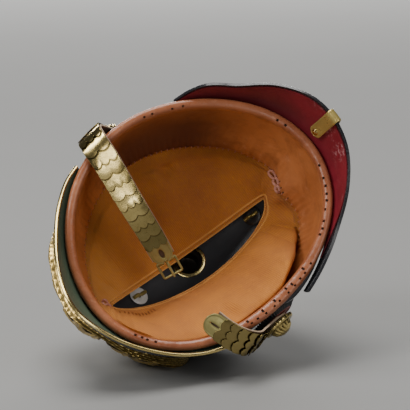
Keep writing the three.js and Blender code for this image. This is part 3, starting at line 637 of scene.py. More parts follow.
# Painted shade: a darker copy of the lining cloth for the pleats
SHADED_GATHER_CLOTH = thread_finish("shaded_gathered_cloth", (0.34, 0.115, 0.021), (0.23, 0.074, 0.013))
PINK_THONG = thread_finish("pink_thong", (0.55, 0.27, 0.2), (0.36, 0.14, 0.09))

# Dome, with the crown hole, its rim sprung outward behind the right cockade
FLARE = 5.4
FLARE_RISE = 32.0
FLARE_TURNS = (-140, -100, -101, -84)


def degrees_of(turn):
    return math.degrees(math.remainder(turn, math.tau))


def rim_flare(turn, rise):
    return FLARE * hump(degrees_of(turn), *FLARE_TURNS) * (1 - ease(rise, 0, FLARE_RISE))


def dome_place(across, along, side):
    turn = math.tau * across
    climb = along * climb_at_reach(turn, DOME_VENT)
    flare = rim_flare(turn, dome_skin(turn, climb).z)
    return dome_point(turn, climb, flare + (side - 1) * DOME_WALL)


def raw_inside_with_sheen(across, along, side):
    """The dome's inner skin is raw leather, duller, and painted greyer as a sheen."""
    return 1.0 - side


dome = slab(dome_place, 176, 56, closed=True, tone=raw_inside_with_sheen)
piece("leather_dome", dome, [BLACK_LEATHER], ["skull"])

# Sweatband: a roll under the rim and a smooth band up the wall, puckered at the lining's seam
BAND_MIDDLE = 53.0
BAND_SLOPE = -5.0
ROLL_SECTION = [(-0.6, -1.2), (-2.6, -1.6), (-4.8, -0.4), (-5.4, 1.8), (-4.4, 4.4), (-1.8, 5.6), (4.0, 5.0)]
FACE_SECTION = [(0.5, 5.3), (1.0, 7.0), (1.0, 5.6), (0.5, 3.9)]
BACK_SECTION = [(3.0, 2.8), (-0.6, 2.8), (-0.6, 0.0)]
SECTION_COUNT = len(ROLL_SECTION) + len(FACE_SECTION) + len(BACK_SECTION)
BAND_COLUMNS = 600
BAND_ROWS = 84
BAND_PUCKERS = 104
ROLL_PUSH = 1.2
PUSH_TURNS = (-140, -112, -84, -60)
# Painted shade high on the band on the wearer's left, where the rim overhead shades it
TOP_SHADE = 0.9
TOP_SHADE_TURNS = (62, 95, 128, 165)
LEAN = 9.0
LEAN_TURN = 193.0
LEAN_SPAN = 9.0


def band_top(turn):
    return BAND_MIDDLE + BAND_SLOPE * math.cos(turn)


def band_lean(turn):
    """How far the band's edge is drawn inward by the knot at the back."""
    return LEAN * bell(degrees_of(turn) % 360, LEAN_TURN, LEAN_SPAN)


def roll_push(turn):
    """How far the roll follows the sprung rim on the wearer's right."""
    return ROLL_PUSH * hump(degrees_of(turn), *PUSH_TURNS)


def roll_swell(turn):
    """Unevenness of the hand-rolled edge."""
    spot = Vector((math.cos(turn) * 7, math.sin(turn) * 7, 0.4))
    return 0.28 * noise.noise(spot) + 0.14 * noise.noise(spot * 4)


@functools.lru_cache(maxsize=None)
def band_section(turn):
    swell = roll_swell(turn)
    drift = noise.noise(Vector((math.cos(turn) * 5, math.sin(turn) * 5, 3)))
    pucker = (0.55 + drift) * math.sin(BAND_PUCKERS * turn + 2 * drift)
    points = []
    push = roll_push(turn)
    for rise, inset in ROLL_SECTION:
        shift = push * (1 - ease(inset, 1, 5))
        points.append(wall_point(turn, rise - swell * (rise < -2), inset + 0.5 * swell - shift))
    for share, inset in FACE_SECTION:
        gather = pucker if share == 1 else 0.0
        inset += band_lean(turn) * (1.0 if share == 1 else 0.4)
        points.append(wall_point(turn, share * band_top(turn) + 0.5 * gather, inset + 0.55 * gather))
    for rise, inset in BACK_SECTION:
        points.append(wall_point(turn, rise, inset))
    return curve_through(points, closed=True)


def band_place(across, along):
    return band_section(math.tau * round(across * BAND_COLUMNS) / BAND_COLUMNS)(along % 1.0)


def band_tone(across, along, side):
    """1 on the roll and 0 on the band, less painted shade high up on the wearer's left."""
    spot = along * SECTION_COUNT
    # Painted shade high on the band on the wearer's left
    stain_and_painted_shade = TOP_SHADE * hump(degrees_of(math.tau * across), *TOP_SHADE_TURNS) * ease(spot, 5.0, 7.5)
    return 1 - ease(spot, 4.2, 6.0) - stain_and_painted_shade


# Runs of stitch holes along the roll: first and last turn, how many, and how far round the section
HOLE_RUNS = [
    (168, 176, 2, 3.6),
    (196, 232, 9, 3.4),
    (241, 292, 11, 2.3),
    (246, 288, 6, 3.3),
    (328, 340, 4, 3.2),
    (100, 130, 4, 3.7),
]
HOLE_INSET = 0.05
HOLE_DEPTH = 1.3
SEAM_INSETS = (7.3, 6.9)
SEAM_HIGH = 0.4


def make_band():
    shape = loft(band_place, BAND_COLUMNS, BAND_ROWS, closed=True, tone=band_tone)
    chart = shape.loops.layers.uv["weave"]
    table = {}
    for face in shape.faces:
        across, along = face_shares(face, chart)
        table[int(across * BAND_COLUMNS), int(along * BAND_ROWS)] = face
    chance = random.Random(4)
    for first, last, count, spot in HOLE_RUNS:
        for i in range(count):
            turn = blend(first, last, (i + chance.uniform(0.2, 0.8)) / count)
            column = int(turn / 360 * BAND_COLUMNS)
            row = int((spot + chance.uniform(-0.15, 0.15)) / SECTION_COUNT * BAND_ROWS)
            hole = [table[column + step % 2, row + step // 2] for step in range(8)]
            bmesh.ops.inset_region(
                shape, faces=hole, thickness=HOLE_INSET, depth=-HOLE_DEPTH, use_even_offset=True
            )
            for face in hole:
                # The sunken holes take the dark finish: painted shade
                face.material_index = 1
    return shape


piece("rolled_sweatband", make_band(), [BAND_LEATHER, HOLE_SHADE], ["sweatband"], sharp=60)


def make_seam(low_rise, high_rise, long_half, wide_half):
    """Row of beads along the band's upper edge, one to each pucker."""
    shapes = []
    chance = random.Random(7)
    for i in range(BAND_PUCKERS):
        turn = math.tau * (i + chance.uniform(-0.15, 0.15)) / BAND_PUCKERS
        top = band_top(turn)
        low = wall_point(turn, top + low_rise, SEAM_INSETS[0] + band_lean(turn))
        high = wall_point(turn, top + high_rise, SEAM_INSETS[1] + band_lean(turn))
        out = dome_normal(turn, climb_at_rise(top)) * -1
        shapes.append(bead((low + high) / 2, high - low, out, long_half, wide_half, SEAM_HIGH, 6, 4))
    return gathered(shapes)


# Dark beads standing for holes: painted shade
piece("band_edge_holes", make_seam(-3.4, -2.0, 0.95, 0.75), [HOLE_SHADE])
piece("band_whip_stitches", make_seam(-1.6, 1.6, 1.8, 0.4), [PINK_THONG])

# Cloth lining, drawn to an almond slit with a sewn hem
CLOTH_WALL = 1.2
CLOTH_TUCK = 5.0
CLOTH_CLEAR = 3.0
TUCK_INSET = 4.4
CLEAR_INSET = 5.0
CLOTH_DEPTH_CM = 9.0
CLOTH_TURN_IN = 0.16
SLIT_AHEAD = 79.0
SLIT_BEHIND = 70.0
SLIT_SIDES = (3.0, -7.3)
SLIT_BOWS = {1: 2.1, -1: 24.8}
SLIT_RISES = (58.0, 74.0)
SLIT_LIFTS = {1: 14.0, -1: 5.0}
POUCH_RISE = 9.0
POUCH_INSET = 8.2
POUCH_OFF = 6.0
POUCH_SAG = 8.0
POUCH_BACK = 9.5
POUCH_TURNS = (-152, -106, -15, 15)
POUCH_OFF_TURNS = (-165, -140, -118, -98)
CLOTH_COLUMNS = 480
CLOTH_ROWS = 92
HEM = 3.8
HEM_RISE = 0.5
HEM_STEPS = 720
HEM_SEAMS = [(1.0, 2.3), (HEM - 1.0, 2.5)]
HEM_STITCH = (0.85, 0.3, 0.24)
GATHERS = 12
GATHER_BACKS = (0.006, 0.15)
GATHER_STARTS = (9.0, 4.0)
GATHER_LENGTH = 7.0
GATHER_BEAD = (4.0, 0.36, 0.9)
FOLD = 3.4
SMALL_FOLD = 1.0
CREASE = 0.7
# Painted light on a patch of the cloth at the front left
LIT_PATCH = 0.7
LIT_PATCH_PLACE = (26, 24)

# Dents of the cloth: turn and share of each middle, spread both ways, and height
DENTS = [
    (-73, 0.71, 5, 0.06, 2.8),
    (-82, 0.7, 5, 0.06, -1.8),
    (111, 0.6, 4, 0.07, 5.0),
    (103, 0.64, 4, 0.09, -2.0),
]


def slit_point(turn):
    back = (1 - math.cos(turn)) / 2
    side = math.sin(turn)
    hand = 1 if side > 0 else -1
    rise = blend(*SLIT_RISES, back) + SLIT_LIFTS[hand] * side * side
    bow = hand * SLIT_BOWS[hand] * abs(side) ** 1.25
    return Vector((blend(SLIT_AHEAD, -SLIT_BEHIND, back), blend(*SLIT_SIDES, back) + bow, rise))


def pouch_share(turn):
    """How far the loose cloth has sagged over the band, on the side that lies lowest."""
    return hump(degrees_of(turn), *POUCH_TURNS)


@functools.lru_cache(maxsize=None)
def cloth_line(turn):
    top = band_top(turn)
    fold = pouch_share(turn)
    slit = slit_point(turn)
    lean = band_lean(turn)
    tucked = wall_point(turn, top - CLOTH_TUCK, TUCK_INSET + lean)
    clear = wall_point(turn, top + CLOTH_CLEAR, CLEAR_INSET + lean)
    plain = clear.lerp(slit, CLOTH_TURN_IN)
    over = clear.lerp(plain, 0.5).lerp(wall_point(turn, top - CLOTH_TUCK, POUCH_BACK), fold)
    off = POUCH_OFF * hump(degrees_of(turn), *POUCH_OFF_TURNS)
    turn_in = plain.lerp(wall_point(turn, POUCH_RISE, POUCH_INSET + off), fold)
    middle = turn_in.lerp(slit, 0.5) - UP * (POUCH_SAG * fold)
    return curve_through([tucked, clear, over, turn_in, middle, slit])


def cloth_middle(turn, along):
    return cloth_line(round(turn % math.tau, 6))(along)


def cloth_frame(turn, along):
    """Way out of the cloth."""
    step = 0.004
    aside = math.tau * step
    around = cloth_middle(turn + aside, along) - cloth_middle(turn - aside, along)
    forward = cloth_middle(turn, min(1.0, along + step)) - cloth_middle(turn, max(0.0, along - step))
    return around.cross(forward).normalized()


def cloth_share(along):
    """Rows stand closer towards the slit, where the hem is."""
    return 1 - (1 - along) ** 1.8


def hem_edge(turn, share):
    """How far the cloth is from the slit's edge."""
    return (cloth_middle(turn, share) - cloth_middle(turn, 1.0)).length


def cloth_folds(turn, share):
    """Soft folds and creases, as a height over the smooth cloth."""
    free = ease(share, 0.45, 0.65)
    where = Vector((math.cos(turn) * 3.0, math.sin(turn) * 3.0, share * 1.9))
    soft = FOLD * noise.noise(where) + SMALL_FOLD * noise.noise(where * 2.3)
    line = 1 - abs(noise.noise(where * 1.3 + Vector((5, 2, 7))))
    crease = CREASE * line**7
    angle = degrees_of(turn)
    dents = 0.0
    for middle, place, wide, long, deep in DENTS:
        dents += deep * bell(angle, middle, wide) * bell(share, place, long)
    return (soft + crease + dents) * ease(hem_edge(turn, share), 2, 16) * free


def cloth_place(across, along, side):
    turn = math.tau * across
    share = cloth_share(along)
    edge = hem_edge(turn, share)
    hem = HEM_RISE * (1 - ease(edge, HEM - 0.2, HEM + 0.4))
    groove = 0.3 * bell(edge, 0.5 * HEM, 0.8)
    half = CLOTH_WALL / 2 + hem - groove
    out = cloth_frame(turn, share)
    return cloth_middle(turn, share) + out * (cloth_folds(turn, share) + (half if side else -half))


def cloth_tone(across, along, side):
    """Painted highlight along the two edges of the hem, and painted light on a patch at the front left."""
    turn = math.tau * across
    edge = hem_edge(turn, cloth_share(along))
    painted_light_patch = LIT_PATCH * bell(degrees_of(turn), *LIT_PATCH_PLACE)
    return max(painted_light_patch, clamp(bell(edge, 0.0, 0.9) + 0.9 * bell(edge, HEM, 0.6)))


def cloth_weave(across, along):
    """Map in centimetres, ahead and down the cloth."""
    share = cloth_share(along)
    spot = cloth_middle(math.tau * across, share)
    return (spot.x * 0.1, share * CLOTH_DEPTH_CM)


lining_cloth = piece(
    "slit_lining_cloth",
    slab(cloth_place, CLOTH_COLUMNS, CLOTH_ROWS, closed=True, tone=cloth_tone, weave=cloth_weave),
    [CLOTH],
    ["lining"],
    sharp=70,
)


def make_hem_stitches():
    shapes = []
    line = [slit_point(math.tau * i / HEM_STEPS) for i in range(HEM_STEPS + 1)]
    for gap, pitch in HEM_SEAMS:
        walked = 0.0
        for i in range(HEM_STEPS):
            walked += (line[i + 1] - line[i]).length
            if walked < pitch:
                continue
            walked = 0.0
            turn = math.tau * i / HEM_STEPS
            path = cloth_line(round(turn, 6))
            share = 1.0
            while share > 0.5 and (path(share) - path(1.0)).length < gap:
                share -= 0.004
            ahead = line[i + 1] - line[i]
            normal = cloth_frame(turn, share)
            middle = path(share) + normal * cloth_folds(turn, share)
            for side in (1, -1):
                out = normal * side
                seat = middle + out * (CLOTH_WALL / 2 + HEM_RISE - 0.05)
                shapes.append(bead(seat, ahead, out, *HEM_STITCH, 6, 4))
    return gathered(shapes)


hem_stitches = piece("hem_stitches", make_hem_stitches(), [THREAD])


def cloth_surface(turn, gone):
    """Point and outward way on the cloth's open face, at a distance from the slit's edge."""
    share = 1.0
    while share > 0.5 and hem_edge(turn, share) < gone:
        share -= 0.003
    normal = cloth_frame(turn, share)
    out = -normal if normal.z > 0 else normal
    middle = cloth_middle(turn, share) + normal * cloth_folds(turn, share)
    return middle + out * (CLOTH_WALL / 2), out


def make_gathers():
    """Short sewn pleats under the slit's front end."""
    shapes = []
    for i in range(GATHERS):
        share = i / (GATHERS - 1)
        back = blend(*GATHER_BACKS, share)
        turn = -math.acos(1 - 2 * back) % math.tau
        gone = HEM + blend(*GATHER_STARTS, share)
        near, out = cloth_surface(turn, gone)
        far, out = cloth_surface(turn, gone + GATHER_LENGTH)
        shapes.append(bead((near + far) / 2, far - near, out, *GATHER_BEAD, 6, 6))
    return gathered(shapes)


front_gathers = piece("front_gathers", make_gathers(), [SHADED_GATHER_CLOTH])

# Knotted thongs on the band's edge: turn, half length and half width of each loop
REAR_KNOT = [(180.5, 3.8, 1.9), (185.5, 3.4, 1.8), (190, 2.6, 1.5)]
FRONT_KNOT = [(4.5, 2.2, 1.5), (1.5, 2.3, 1.6), (-1.5, 1.8, 1.4)]
KNOT_POINTS = 12
KNOT_ROD = 1.1
KNOT_TWIST = 0.7


def seam_point(turn, inset):
    return wall_point(turn, band_top(turn), inset + band_lean(turn))


def make_knot(inset, loops):
    """Leather thong knotted along the band's edge: a chain of loose loops."""
    shapes = []
    for degrees, long_half, wide_half in loops:
        turn = math.radians(degrees)
        ahead = (seam_point(turn + 0.02, inset) - seam_point(turn - 0.02, inset)).normalized()
        inward = ahead.cross(UP).normalized()
        if inward.dot(dome_normal(turn, 0)) > 0:
            inward = -inward
        ring = []
        for i in range(KNOT_POINTS):
            angle = math.tau * i / KNOT_POINTS
            aside = math.sin(angle) * wide_half + wide_half
            flat = ahead * (math.cos(angle) * long_half) + inward * aside
            ring.append(seam_point(turn, inset) + flat - UP * (KNOT_TWIST * math.sin(2 * angle)))
        shapes.append(rod(ring, KNOT_ROD, 48, 8, closed=True))
    return gathered(shapes)


knots = gathered([make_knot(7.4, REAR_KNOT), make_knot(9.6, FRONT_KNOT)])
piece("thong_knots", knots, [PINK_THONG])

# Visors: how far each stands off the rim at its root, reaches out and drops, by turn
VISOR_RISE = 3.5
VISOR_WALL = 1.4
VISOR_UNDER = 0.8
VISOR_BOW = 1.6
VISOR_FULL_BOW = 30.0
VISOR_LOW = VISOR_UNDER + SEAT
VISOR_TOP = VISOR_LOW + VISOR_WALL
FRONT_HALF = [
    (0, 0.6, 15, 36),
    (15, 0.6, 11.4, 32),
    (30, 0.6, 7.6, 22),
    (46, 0.6, 6.2, 10),
    (58, 0.6, 5.6, 4.5),
    (66, 0.6, 3.8, 1.5),
]
FRONT_ROWS = [(-turn, *rest) for turn, *rest in reversed(FRONT_HALF[1:])] + FRONT_HALF
REAR_ROWS = [
    (-58, 0.6, 2.6, 0),
    (-51, 0.6, 4.8, 9.5),
    (-44, 0.6, 5.8, 17),
    (-30, 0.6, 6.8, 19),
    (-15, 0.6, 12, 28),
    (0, 0.6, 15.5, 34),
    (15, 0.6, 14.5, 30),
    (30, 0.6, 9.5, 23),
    (45, 1.2, 6, 15),
    (57, 3, 6.5, 12),
    (68, 5, 8, 8),
    (75, 6.5, 9, 5),
]


class Visor:
    def __init__(self, rows, middle):
        self.rows = rows
        self.middle = middle
        self.first = rows[0][0]
        self.last = rows[-1][0]

    def values(self, turn):
        """Smooth lift, reach and drop at a turn."""
        rows = self.rows
        i = 1
        while i < len(rows) - 1 and rows[i][0] < turn:
            i += 1
        start, end = rows[i - 1], rows[i]
        before = rows[i - 2] if i > 1 else end
        after = rows[i + 1] if i + 1 < len(rows) else start
        half = (end[0] - start[0]) / 2
        weight_before = half / (start[0] - before[0])
        weight_after = half / (after[0] - end[0])
        t = (turn - start[0]) / (end[0] - start[0])
        square = t * t
        cube = square * t
        share_before = weight_before * (-cube + 2 * square - t)
        falling = (1.5 + 2 * weight_before) * square + (0.5 - weight_before) * t
        share_start = (1 + weight_before) * cube - falling + 1
        share_end = -(1 + weight_after) * cube + (1.5 + weight_after) * square + 0.5 * t
        share_after = weight_after * (cube - square)
        shares = (share_before, share_start, share_end, share_after)
        columns = zip(before[1:], start[1:], end[1:], after[1:])
        return [sum(share * value for share, value in zip(shares, column)) for column in columns]

    @functools.lru_cache(maxsize=None)
    def section(self, turn):
        lift, reach, drop = self.values(turn)
        heading = math.radians(self.middle + turn)
        out = dome_normal(heading, 0)
        out.z = 0
        out.normalize()
        rim = dome_skin(heading, 0)
        root = rim + out * lift
        root.z = VISOR_RISE
        edge = rim + out * reach
        edge.z = -drop
        run = (edge - root).normalized()
        upper = out * -run.z + UP * run.dot(out)
        return root, edge, run, upper

    def point(self, turn, share, height):
        root, edge, run, upper = self.section(turn)
        length = (edge - root).length
        bow = VISOR_BOW * 4 * share * (1 - share) * min(1.0, length / VISOR_FULL_BOW)
        return root.lerp(edge, share) + upper * (height + bow)

    def at(self, across):
        return blend(self.first, self.last, across)


front_visor = Visor(FRONT_ROWS, 0)
rear_visor = Visor(REAR_ROWS, 180)
LINING_STOP = 3.0
REAR_LIP = 0.9
RED_END = 58.0
EDGE_PARED = 0.35
VISOR_TUCK = 2.0
SHORTEST_SHARE = 0.06
END_EASING = 26
# Painted shade on the red lining towards the rear visor's first end, which lies in shadow
END_SHADE = 0.62
END_SHADE_SPAN = (0.38, 0.6)


def visor_sheet(
    visor, low, high, columns, rows, stop=0.0, lip=0.0, tone=None, end=None, pared=0.0, tuck=0.0
):
    """One leaf of a visor, tucked in, stopped short, lipped, pared or ended early if asked."""

    def place(across, along, side):
        turn = blend(visor.first, end, across) if end else visor.at(across)
        root, edge, run, upper = visor.section(turn)
        length = (edge - root).length
        share = blend(-tuck / length, max(SHORTEST_SHARE, 1 - stop / length), along)
        if end:
            share *= 1 - 0.9 * ease(turn, end - END_EASING, end)
        gone = (1 - share) * length
        fold = lip * (1 - ease(gone, LINING_STOP - 0.6, LINING_STOP + 0.3))
        thin = 1 - pared * ease(-gone, -6, -0.5)
        return visor.point(turn, share, (high if side else low) * thin - (0 if side else fold))

    return slab(place, columns, rows, tone=tone)


def edge_rub(across, along, side):
    """Rubbed towards the visor's edge."""
    return ease(along, 0.3, 0.85)


def shaded_end(across, along, side):
    """Rubbed at the edge, and darkened with painted shade towards the first end."""
    painted_shade = END_SHADE * (1 - ease(across, *END_SHADE_SPAN))
    return edge_rub(across, along, side) * (1 - painted_shade) - painted_shade


piece(
    "front_visor_leather",
    visor_sheet(front_visor, VISOR_LOW, VISOR_TOP, 110, 14, pared=EDGE_PARED),
    [BLACK_LEATHER],
    ["front_visor"],
    rounding=0.3,
)
piece(
    "front_visor_green_lining",
    visor_sheet(front_visor, 0.0, VISOR_UNDER, 110, 14, tone=edge_rub, pared=EDGE_PARED),
    [GREEN_LEATHER],
    ["front_visor_lining"],
    rounding=0.2,
)
piece(
    "rear_visor_leather",
    visor_sheet(rear_visor, VISOR_LOW, VISOR_TOP, 130, 22, lip=REAR_LIP, tuck=VISOR_TUCK),
    [BLACK_LEATHER],
    ["rear_visor"],
    rounding=0.3,
)
piece(
    "rear_visor_red_lining",
    visor_sheet(rear_visor, 0.0, VISOR_UNDER, 130, 16, stop=LINING_STOP, tone=shaded_end, end=RED_END),
    [RED_LEATHER],
    ["rear_visor_lining"],
    rounding=0.2,
)

# Brass edge of the front visor: section out past the edge and up through the visor's thickness
TRIM_SECTION = [
    (-0.7, -0.4),
    (-0.6, -0.1),
    (0.1, -0.1),
    (0.2, 0.1),
    (0.2, 1.6),
    (0.1, 1.8),
    (-1.6, 1.85),
    (-1.7, 2.2),
    (0.1, 2.2),
    (0.55, 1.9),
    (0.7, 1.4),
    (0.7, 0.6),
    (0.6, 0.0),
    (0.3, -0.35),
    (-0.3, -0.5),
]
TRIM_COLUMNS = 150


def make_trim():
    @functools.lru_cache(maxsize=None)
    def section(column):
        root, edge, run, upper = front_visor.section(front_visor.at(column / TRIM_COLUMNS))
        return curve_through([edge + run * out + upper * high for out, high in TRIM_SECTION], closed=True)

    def place(across, along):
        return section(round(across * TRIM_COLUMNS))(along % 1.0)

    return loft(place, TRIM_COLUMNS, 45)


piece("front_visor_edge", make_trim(), [TRIM_BRASS], ["front_visor_trim"], sharp=50)

# Rear spine, down the back and round the rear visor's edge, with its rivet
SPINE_WIDTH = 10.4
SPINE_WALL = 1.0
SPINE_SEAT = 0.8
SPINE_UNDER = 1.5
SPINE_TURN = 7.0
SPINE_END = (5.0, 0.3)
SPINE_RISES = [82, 66, 48, 30, 14]
SPINE_STEPS = 150
RIVET_SHARE = 0.4
RIVET_PROFILE = [(0, 1.5), (0.9, 1.45), (1.3, 1.15), (1.55, 1.2), (2.1, 1.05), (2.5, 0.55), (2.6, 0)]
RIVET_PROFILE.append((0, 0))


def under_turn(share):
    """The strip runs a little aslant under the visor."""
    return blend(SPINE_END[0], SPINE_TURN, (share - SPINE_END[1]) / (1 - SPINE_END[1]))


def spine_line():
    root, edge, run, upper = rear_visor.section(SPINE_TURN)
    middle = edge + upper * ((VISOR_TOP + SPINE_SEAT - SPINE_UNDER) / 2)
    round_edge = (VISOR_TOP + SPINE_SEAT + SPINE_UNDER) / 2
    points = []
    for rise in SPINE_RISES:
        heading = math.radians(180 + SPINE_TURN * (1 - rise / SPINE_RISES[0]))
        points.append(wall_point(heading, rise, -SPINE_SEAT))
    for share in (0.02, 0.2, 0.5, 0.8, 0.97):
        points.append(rear_visor.point(SPINE_TURN, share, VISOR_TOP + SPINE_SEAT))
    for angle in (40, 0, -40):
        turn = math.radians(angle)
        bend = run * math.cos(turn) + upper * math.sin(turn)
        points.append(middle + bend * round_edge)
    for share in (0.97, 0.8, 0.6, 0.45, SPINE_END[1]):
        points.append(rear_visor.point(under_turn(share), share, -SPINE_UNDER))
    return curve_through(points)


def make_spine():
    line = spine_line()
    heading = math.radians(180 + SPINE_TURN)
    wide = Vector((-math.sin(heading), math.cos(heading), 0))
    length = sum((line((i + 1) / 400) - line(i / 400)).length for i in range(400))

    def place(across, along, side):
        ahead = line(across + 0.002) - line(across - 0.002)
        out = ahead.cross(wide).normalized()
        left = min(across, 1 - across) * length
        tip = SPINE_WIDTH / 2
        narrow = math.sqrt(max(0.0, 1 - (1 - clamp(left / tip)) ** 2)) if left < tip else 1.0
        over = 2 * along - 1
        crown = 0.35 * (1 - over * over)
        bead_line = 0.25 * bell(abs(over), 0.8, 0.12)
        high = SPINE_WALL + crown + bead_line if side else 0.0
        return line(across) + wide * (over * tip * max(narrow, 0.12)) + out * high

    return slab(place, SPINE_STEPS, 16)


piece("rear_spine_strip", make_spine(), [SPINE_BRASS], ["rear_spine"], rounding=0.2)


def make_rivet():
    turn = under_turn(RIVET_SHARE)
    root, edge, run, upper = rear_visor.section(turn)
    seat = rear_visor.point(turn, RIVET_SHARE, -(SPINE_UNDER + SPINE_WALL + SEAT))
    return moved(turned(RIVET_PROFILE, 32), frame_matrix(seat, -upper, run))


piece("rear_spine_rivet_head", make_rivet(), [TRIM_BRASS], ["rear_spine_rivet"], sharp=30)

# Crown eyelet, spike base, pearl ring and spike
VENT_PROFILE = [
    (10.4, 105.6),
    (10.8, 105.2),
    (12.6, 105.2),
    (13.3, 105.5),
    (13.3, 105.9),
    (12.9, 106.2),
    (11.9, 106.2),
    (11.5, 106.6),
    (11.5, 109.2),
    (10.4, 109.2),
]
eyelet = turned(VENT_PROFILE, 64, closed=True)
piece("crown_eyelet", eyelet, [TRIM_BRASS], ["vent_ring"], sharp=30)

BASE_HUB = 30.0
BASE_ARM = 38.0
BASE_SHARPNESS = 1.6
BASE_SEAT = 2.5
BASE_WALL = 1.4
BASE_HOLE = 10.0
NECK_PROFILE = [
    (8.5, 112),
    (20, 111.2),
    (18.4, 112.6),
    (16.4, 114.2),
    (14.6, 116.2),
    (13.2, 118.4),
    (13.6, 119.0),
    (13.4, 119.8),
    (12.4, 120.4),
    (11.6, 122.4),
    (11.5, 124.2),
    (12.0, 125.6),
    (12.6, 126.2),
    (12.5, 127),
    (8.5, 127),
]


def base_place(across, along, side):
    turn = math.tau * across
    rim = BASE_HUB + BASE_ARM * abs(math.cos(2 * turn)) ** BASE_SHARPNESS
    reach = blend(BASE_HOLE, rim, along)
    gone = rim - reach
    border = 0.6 * hump(gone, 0.4, 1.2, 2.2, 3.0)
    swell = 0.8 * (1 - ease(reach, 14, 44))
    out = BASE_SEAT + (BASE_WALL + border + swell if side else 0.0)
    return dome_point(turn, climb_at_reach(turn, reach), out)


def base_tone(across, along, side):
    return 0.35 * hump(along, 0.78, 0.88, 0.9, 0.96)


def paint_shade_inside(shape, inside):
    """Gives the faces whose corners all pass a test of radius and height the dark finish, painted shade in
    a bore or under a foot.
    """
    for face in shape.faces:
        if all(inside(vert.co.xy.length, vert.co.z) for vert in face.verts):
            face.material_index = 1
    return shape


def in_bore(radius, height):
    return radius < 10.2 and 111.5 < height < 127.5 or radius < 20.5 and 111 < height < 112.1


piece(
    "spike_cross_base",
    gathered(
        [
            slab(base_place, 240, 40, closed=True, tone=base_tone),
            paint_shade_inside(turned(NECK_PROFILE, 64, closed=True), in_bore),
        ]
    ),
    [BRASS, HOLE_SHADE],
    ["spike_base"],
    rounding=0.2,
)

PEARL_RADIUS = 11.2
PEARL_RISE = 129.6
PEARL_COUNT = 17


def make_pearls():
    turns = [math.tau * i / 24 for i in range(24)]
    core = [round_point(turn, PEARL_RADIUS, PEARL_RISE) for turn in turns]
    shapes = [rod(core, 1.5, 72, 10, closed=True, tone=0.5)]
    for i in range(PEARL_COUNT):
        turn = math.tau * i / PEARL_COUNT
        away = Vector((math.cos(turn), math.sin(turn), 0))
        spot = away * PEARL_RADIUS + UP * PEARL_RISE
        shapes.append(bead(spot, UP, away, 2.1, 1.95, 2.2, 14, 10))
    return gathered(shapes)


piece("spike_pearl_ring", make_pearls(), [BRASS], ["pearl_ring"])

SPIKE_PROFILE = [
    (0, 132.2),
    (11.4, 132.2),
    (12, 132.6),
    (12, 133.6),
    (11.4, 134.2),
    (10.2, 134.7),
    (9.4, 136.2),
    (9.6, 137.0),
    (8.9, 137.6),
    (8.0, 139.2),
    (7.5, 141.4),
    (7.2, 145.0),
    (7.0, 150.0),
    (6.3, 160.0),
    (5.35, 172.0),
    (4.45, 183.0),
    (3.45, 195.0),
    (2.6, 204.0),
    (2.05, 210.0),
    (1.5, 211.5),
    (0, 212),
]


def on_foot(radius, height):
    return height < 132.3


spike = paint_shade_inside(turned(SPIKE_PROFILE, 56), on_foot)
piece("crown_spike", spike, [BRASS, HOLE_SHADE], ["spike"], sharp=35)

# Studs of the base, with washers and split pins inside the crown
STUD_PLACES = {"front": (3, 52), "left": (90, 54), "rear": (188, 61), "right": (-90, 54)}
WASHER_SEAT = 1.3
WASHER_WALL = 0.9
WASHER_PROFILE = [
    (1.9, 0.1),
    (2.1, 0),
    (7.1, 0),
    (7.5, 0.25),
    (7.5, 0.65),
    (7.1, 0.9),
    (2.1, 0.9),
    (1.9, 0.8),
]
STUD_POINTS = 6
STUD_RADIUS = 5.4
SHANK_RADIUS = 1.25

# Bent half of a split pin: height over the washer, share of its shift aside, and reach
PIN_SHIFT = 0.5
PIN_BEND = [(1.0, 1.0, -0.6), (-0.6, 1.0, -0.4), (-1.2, 1.0, 1.0), (-0.9, 1.0, 3.6), (-0.8, 0.7, 6.4)]


def stud_head_place(across, along, side):
    angle = math.tau * across
    star = STUD_RADIUS + math.cos(STUD_POINTS * angle)
    radius = max(star * along, 0.02)
    dome = 2.2 * (1 - 0.75 * along**2.2) * (1 + 0.08 * math.cos(STUD_POINTS * angle) * along)
    return round_point(angle, radius, dome if side else 0.0)


def make_stud(axis, away, at):
    low = -(DOME_WALL + WASHER_SEAT + WASHER_WALL + SEAT)
    high = BASE_SEAT + BASE_WALL + SEAT
    head = moved(slab(stud_head_place, 72, 12, closed=True), frame_matrix(at(high), axis, away))
    side = axis.cross(away).normalized()
    along = side.cross(axis).normalized()
    shapes = [head, rod([at(low + 1.0), at(0), at(high + 0.3)], SHANK_RADIUS, 12, 14)]
    for hand in (1, -1):
        shift = side * (PIN_SHIFT * hand)
        bend = [at(low + rise) + shift * near + along * (reach * hand) for rise, near, reach in PIN_BEND]
        shapes.append(rod(bend, lambda share: 0.8 + 0.75 * ease(share, 0.3, 0.6), 24, 12))
    return gathered(shapes)


for word, (angle, reach) in STUD_PLACES.items():
    turn = math.radians(angle)
    climb = climb_at_reach(turn, reach)
    axis = dome_normal(turn, climb)
    away = Vector((math.cos(turn), math.sin(turn), 0))
    at = functools.partial(dome_point, turn, climb)
    piece(f"base_stud_{word}", make_stud(axis, away, at), [SPINE_BRASS], [f"stud_{word}"], sharp=50)
    seat = at(-(DOME_WALL + WASHER_SEAT + WASHER_WALL))
    washer = moved(turned(WASHER_PROFILE, 40, closed=True), frame_matrix(seat, axis, away))
    # The rear washer takes the dark copy of the white metal: painted shade
    finish = SHADED_WHITE_METAL if word == "rear" else WHITE_METAL
    piece(f"crown_washer_{word}", washer, [finish], [f"stud_washer_{word}"], sharp=35)

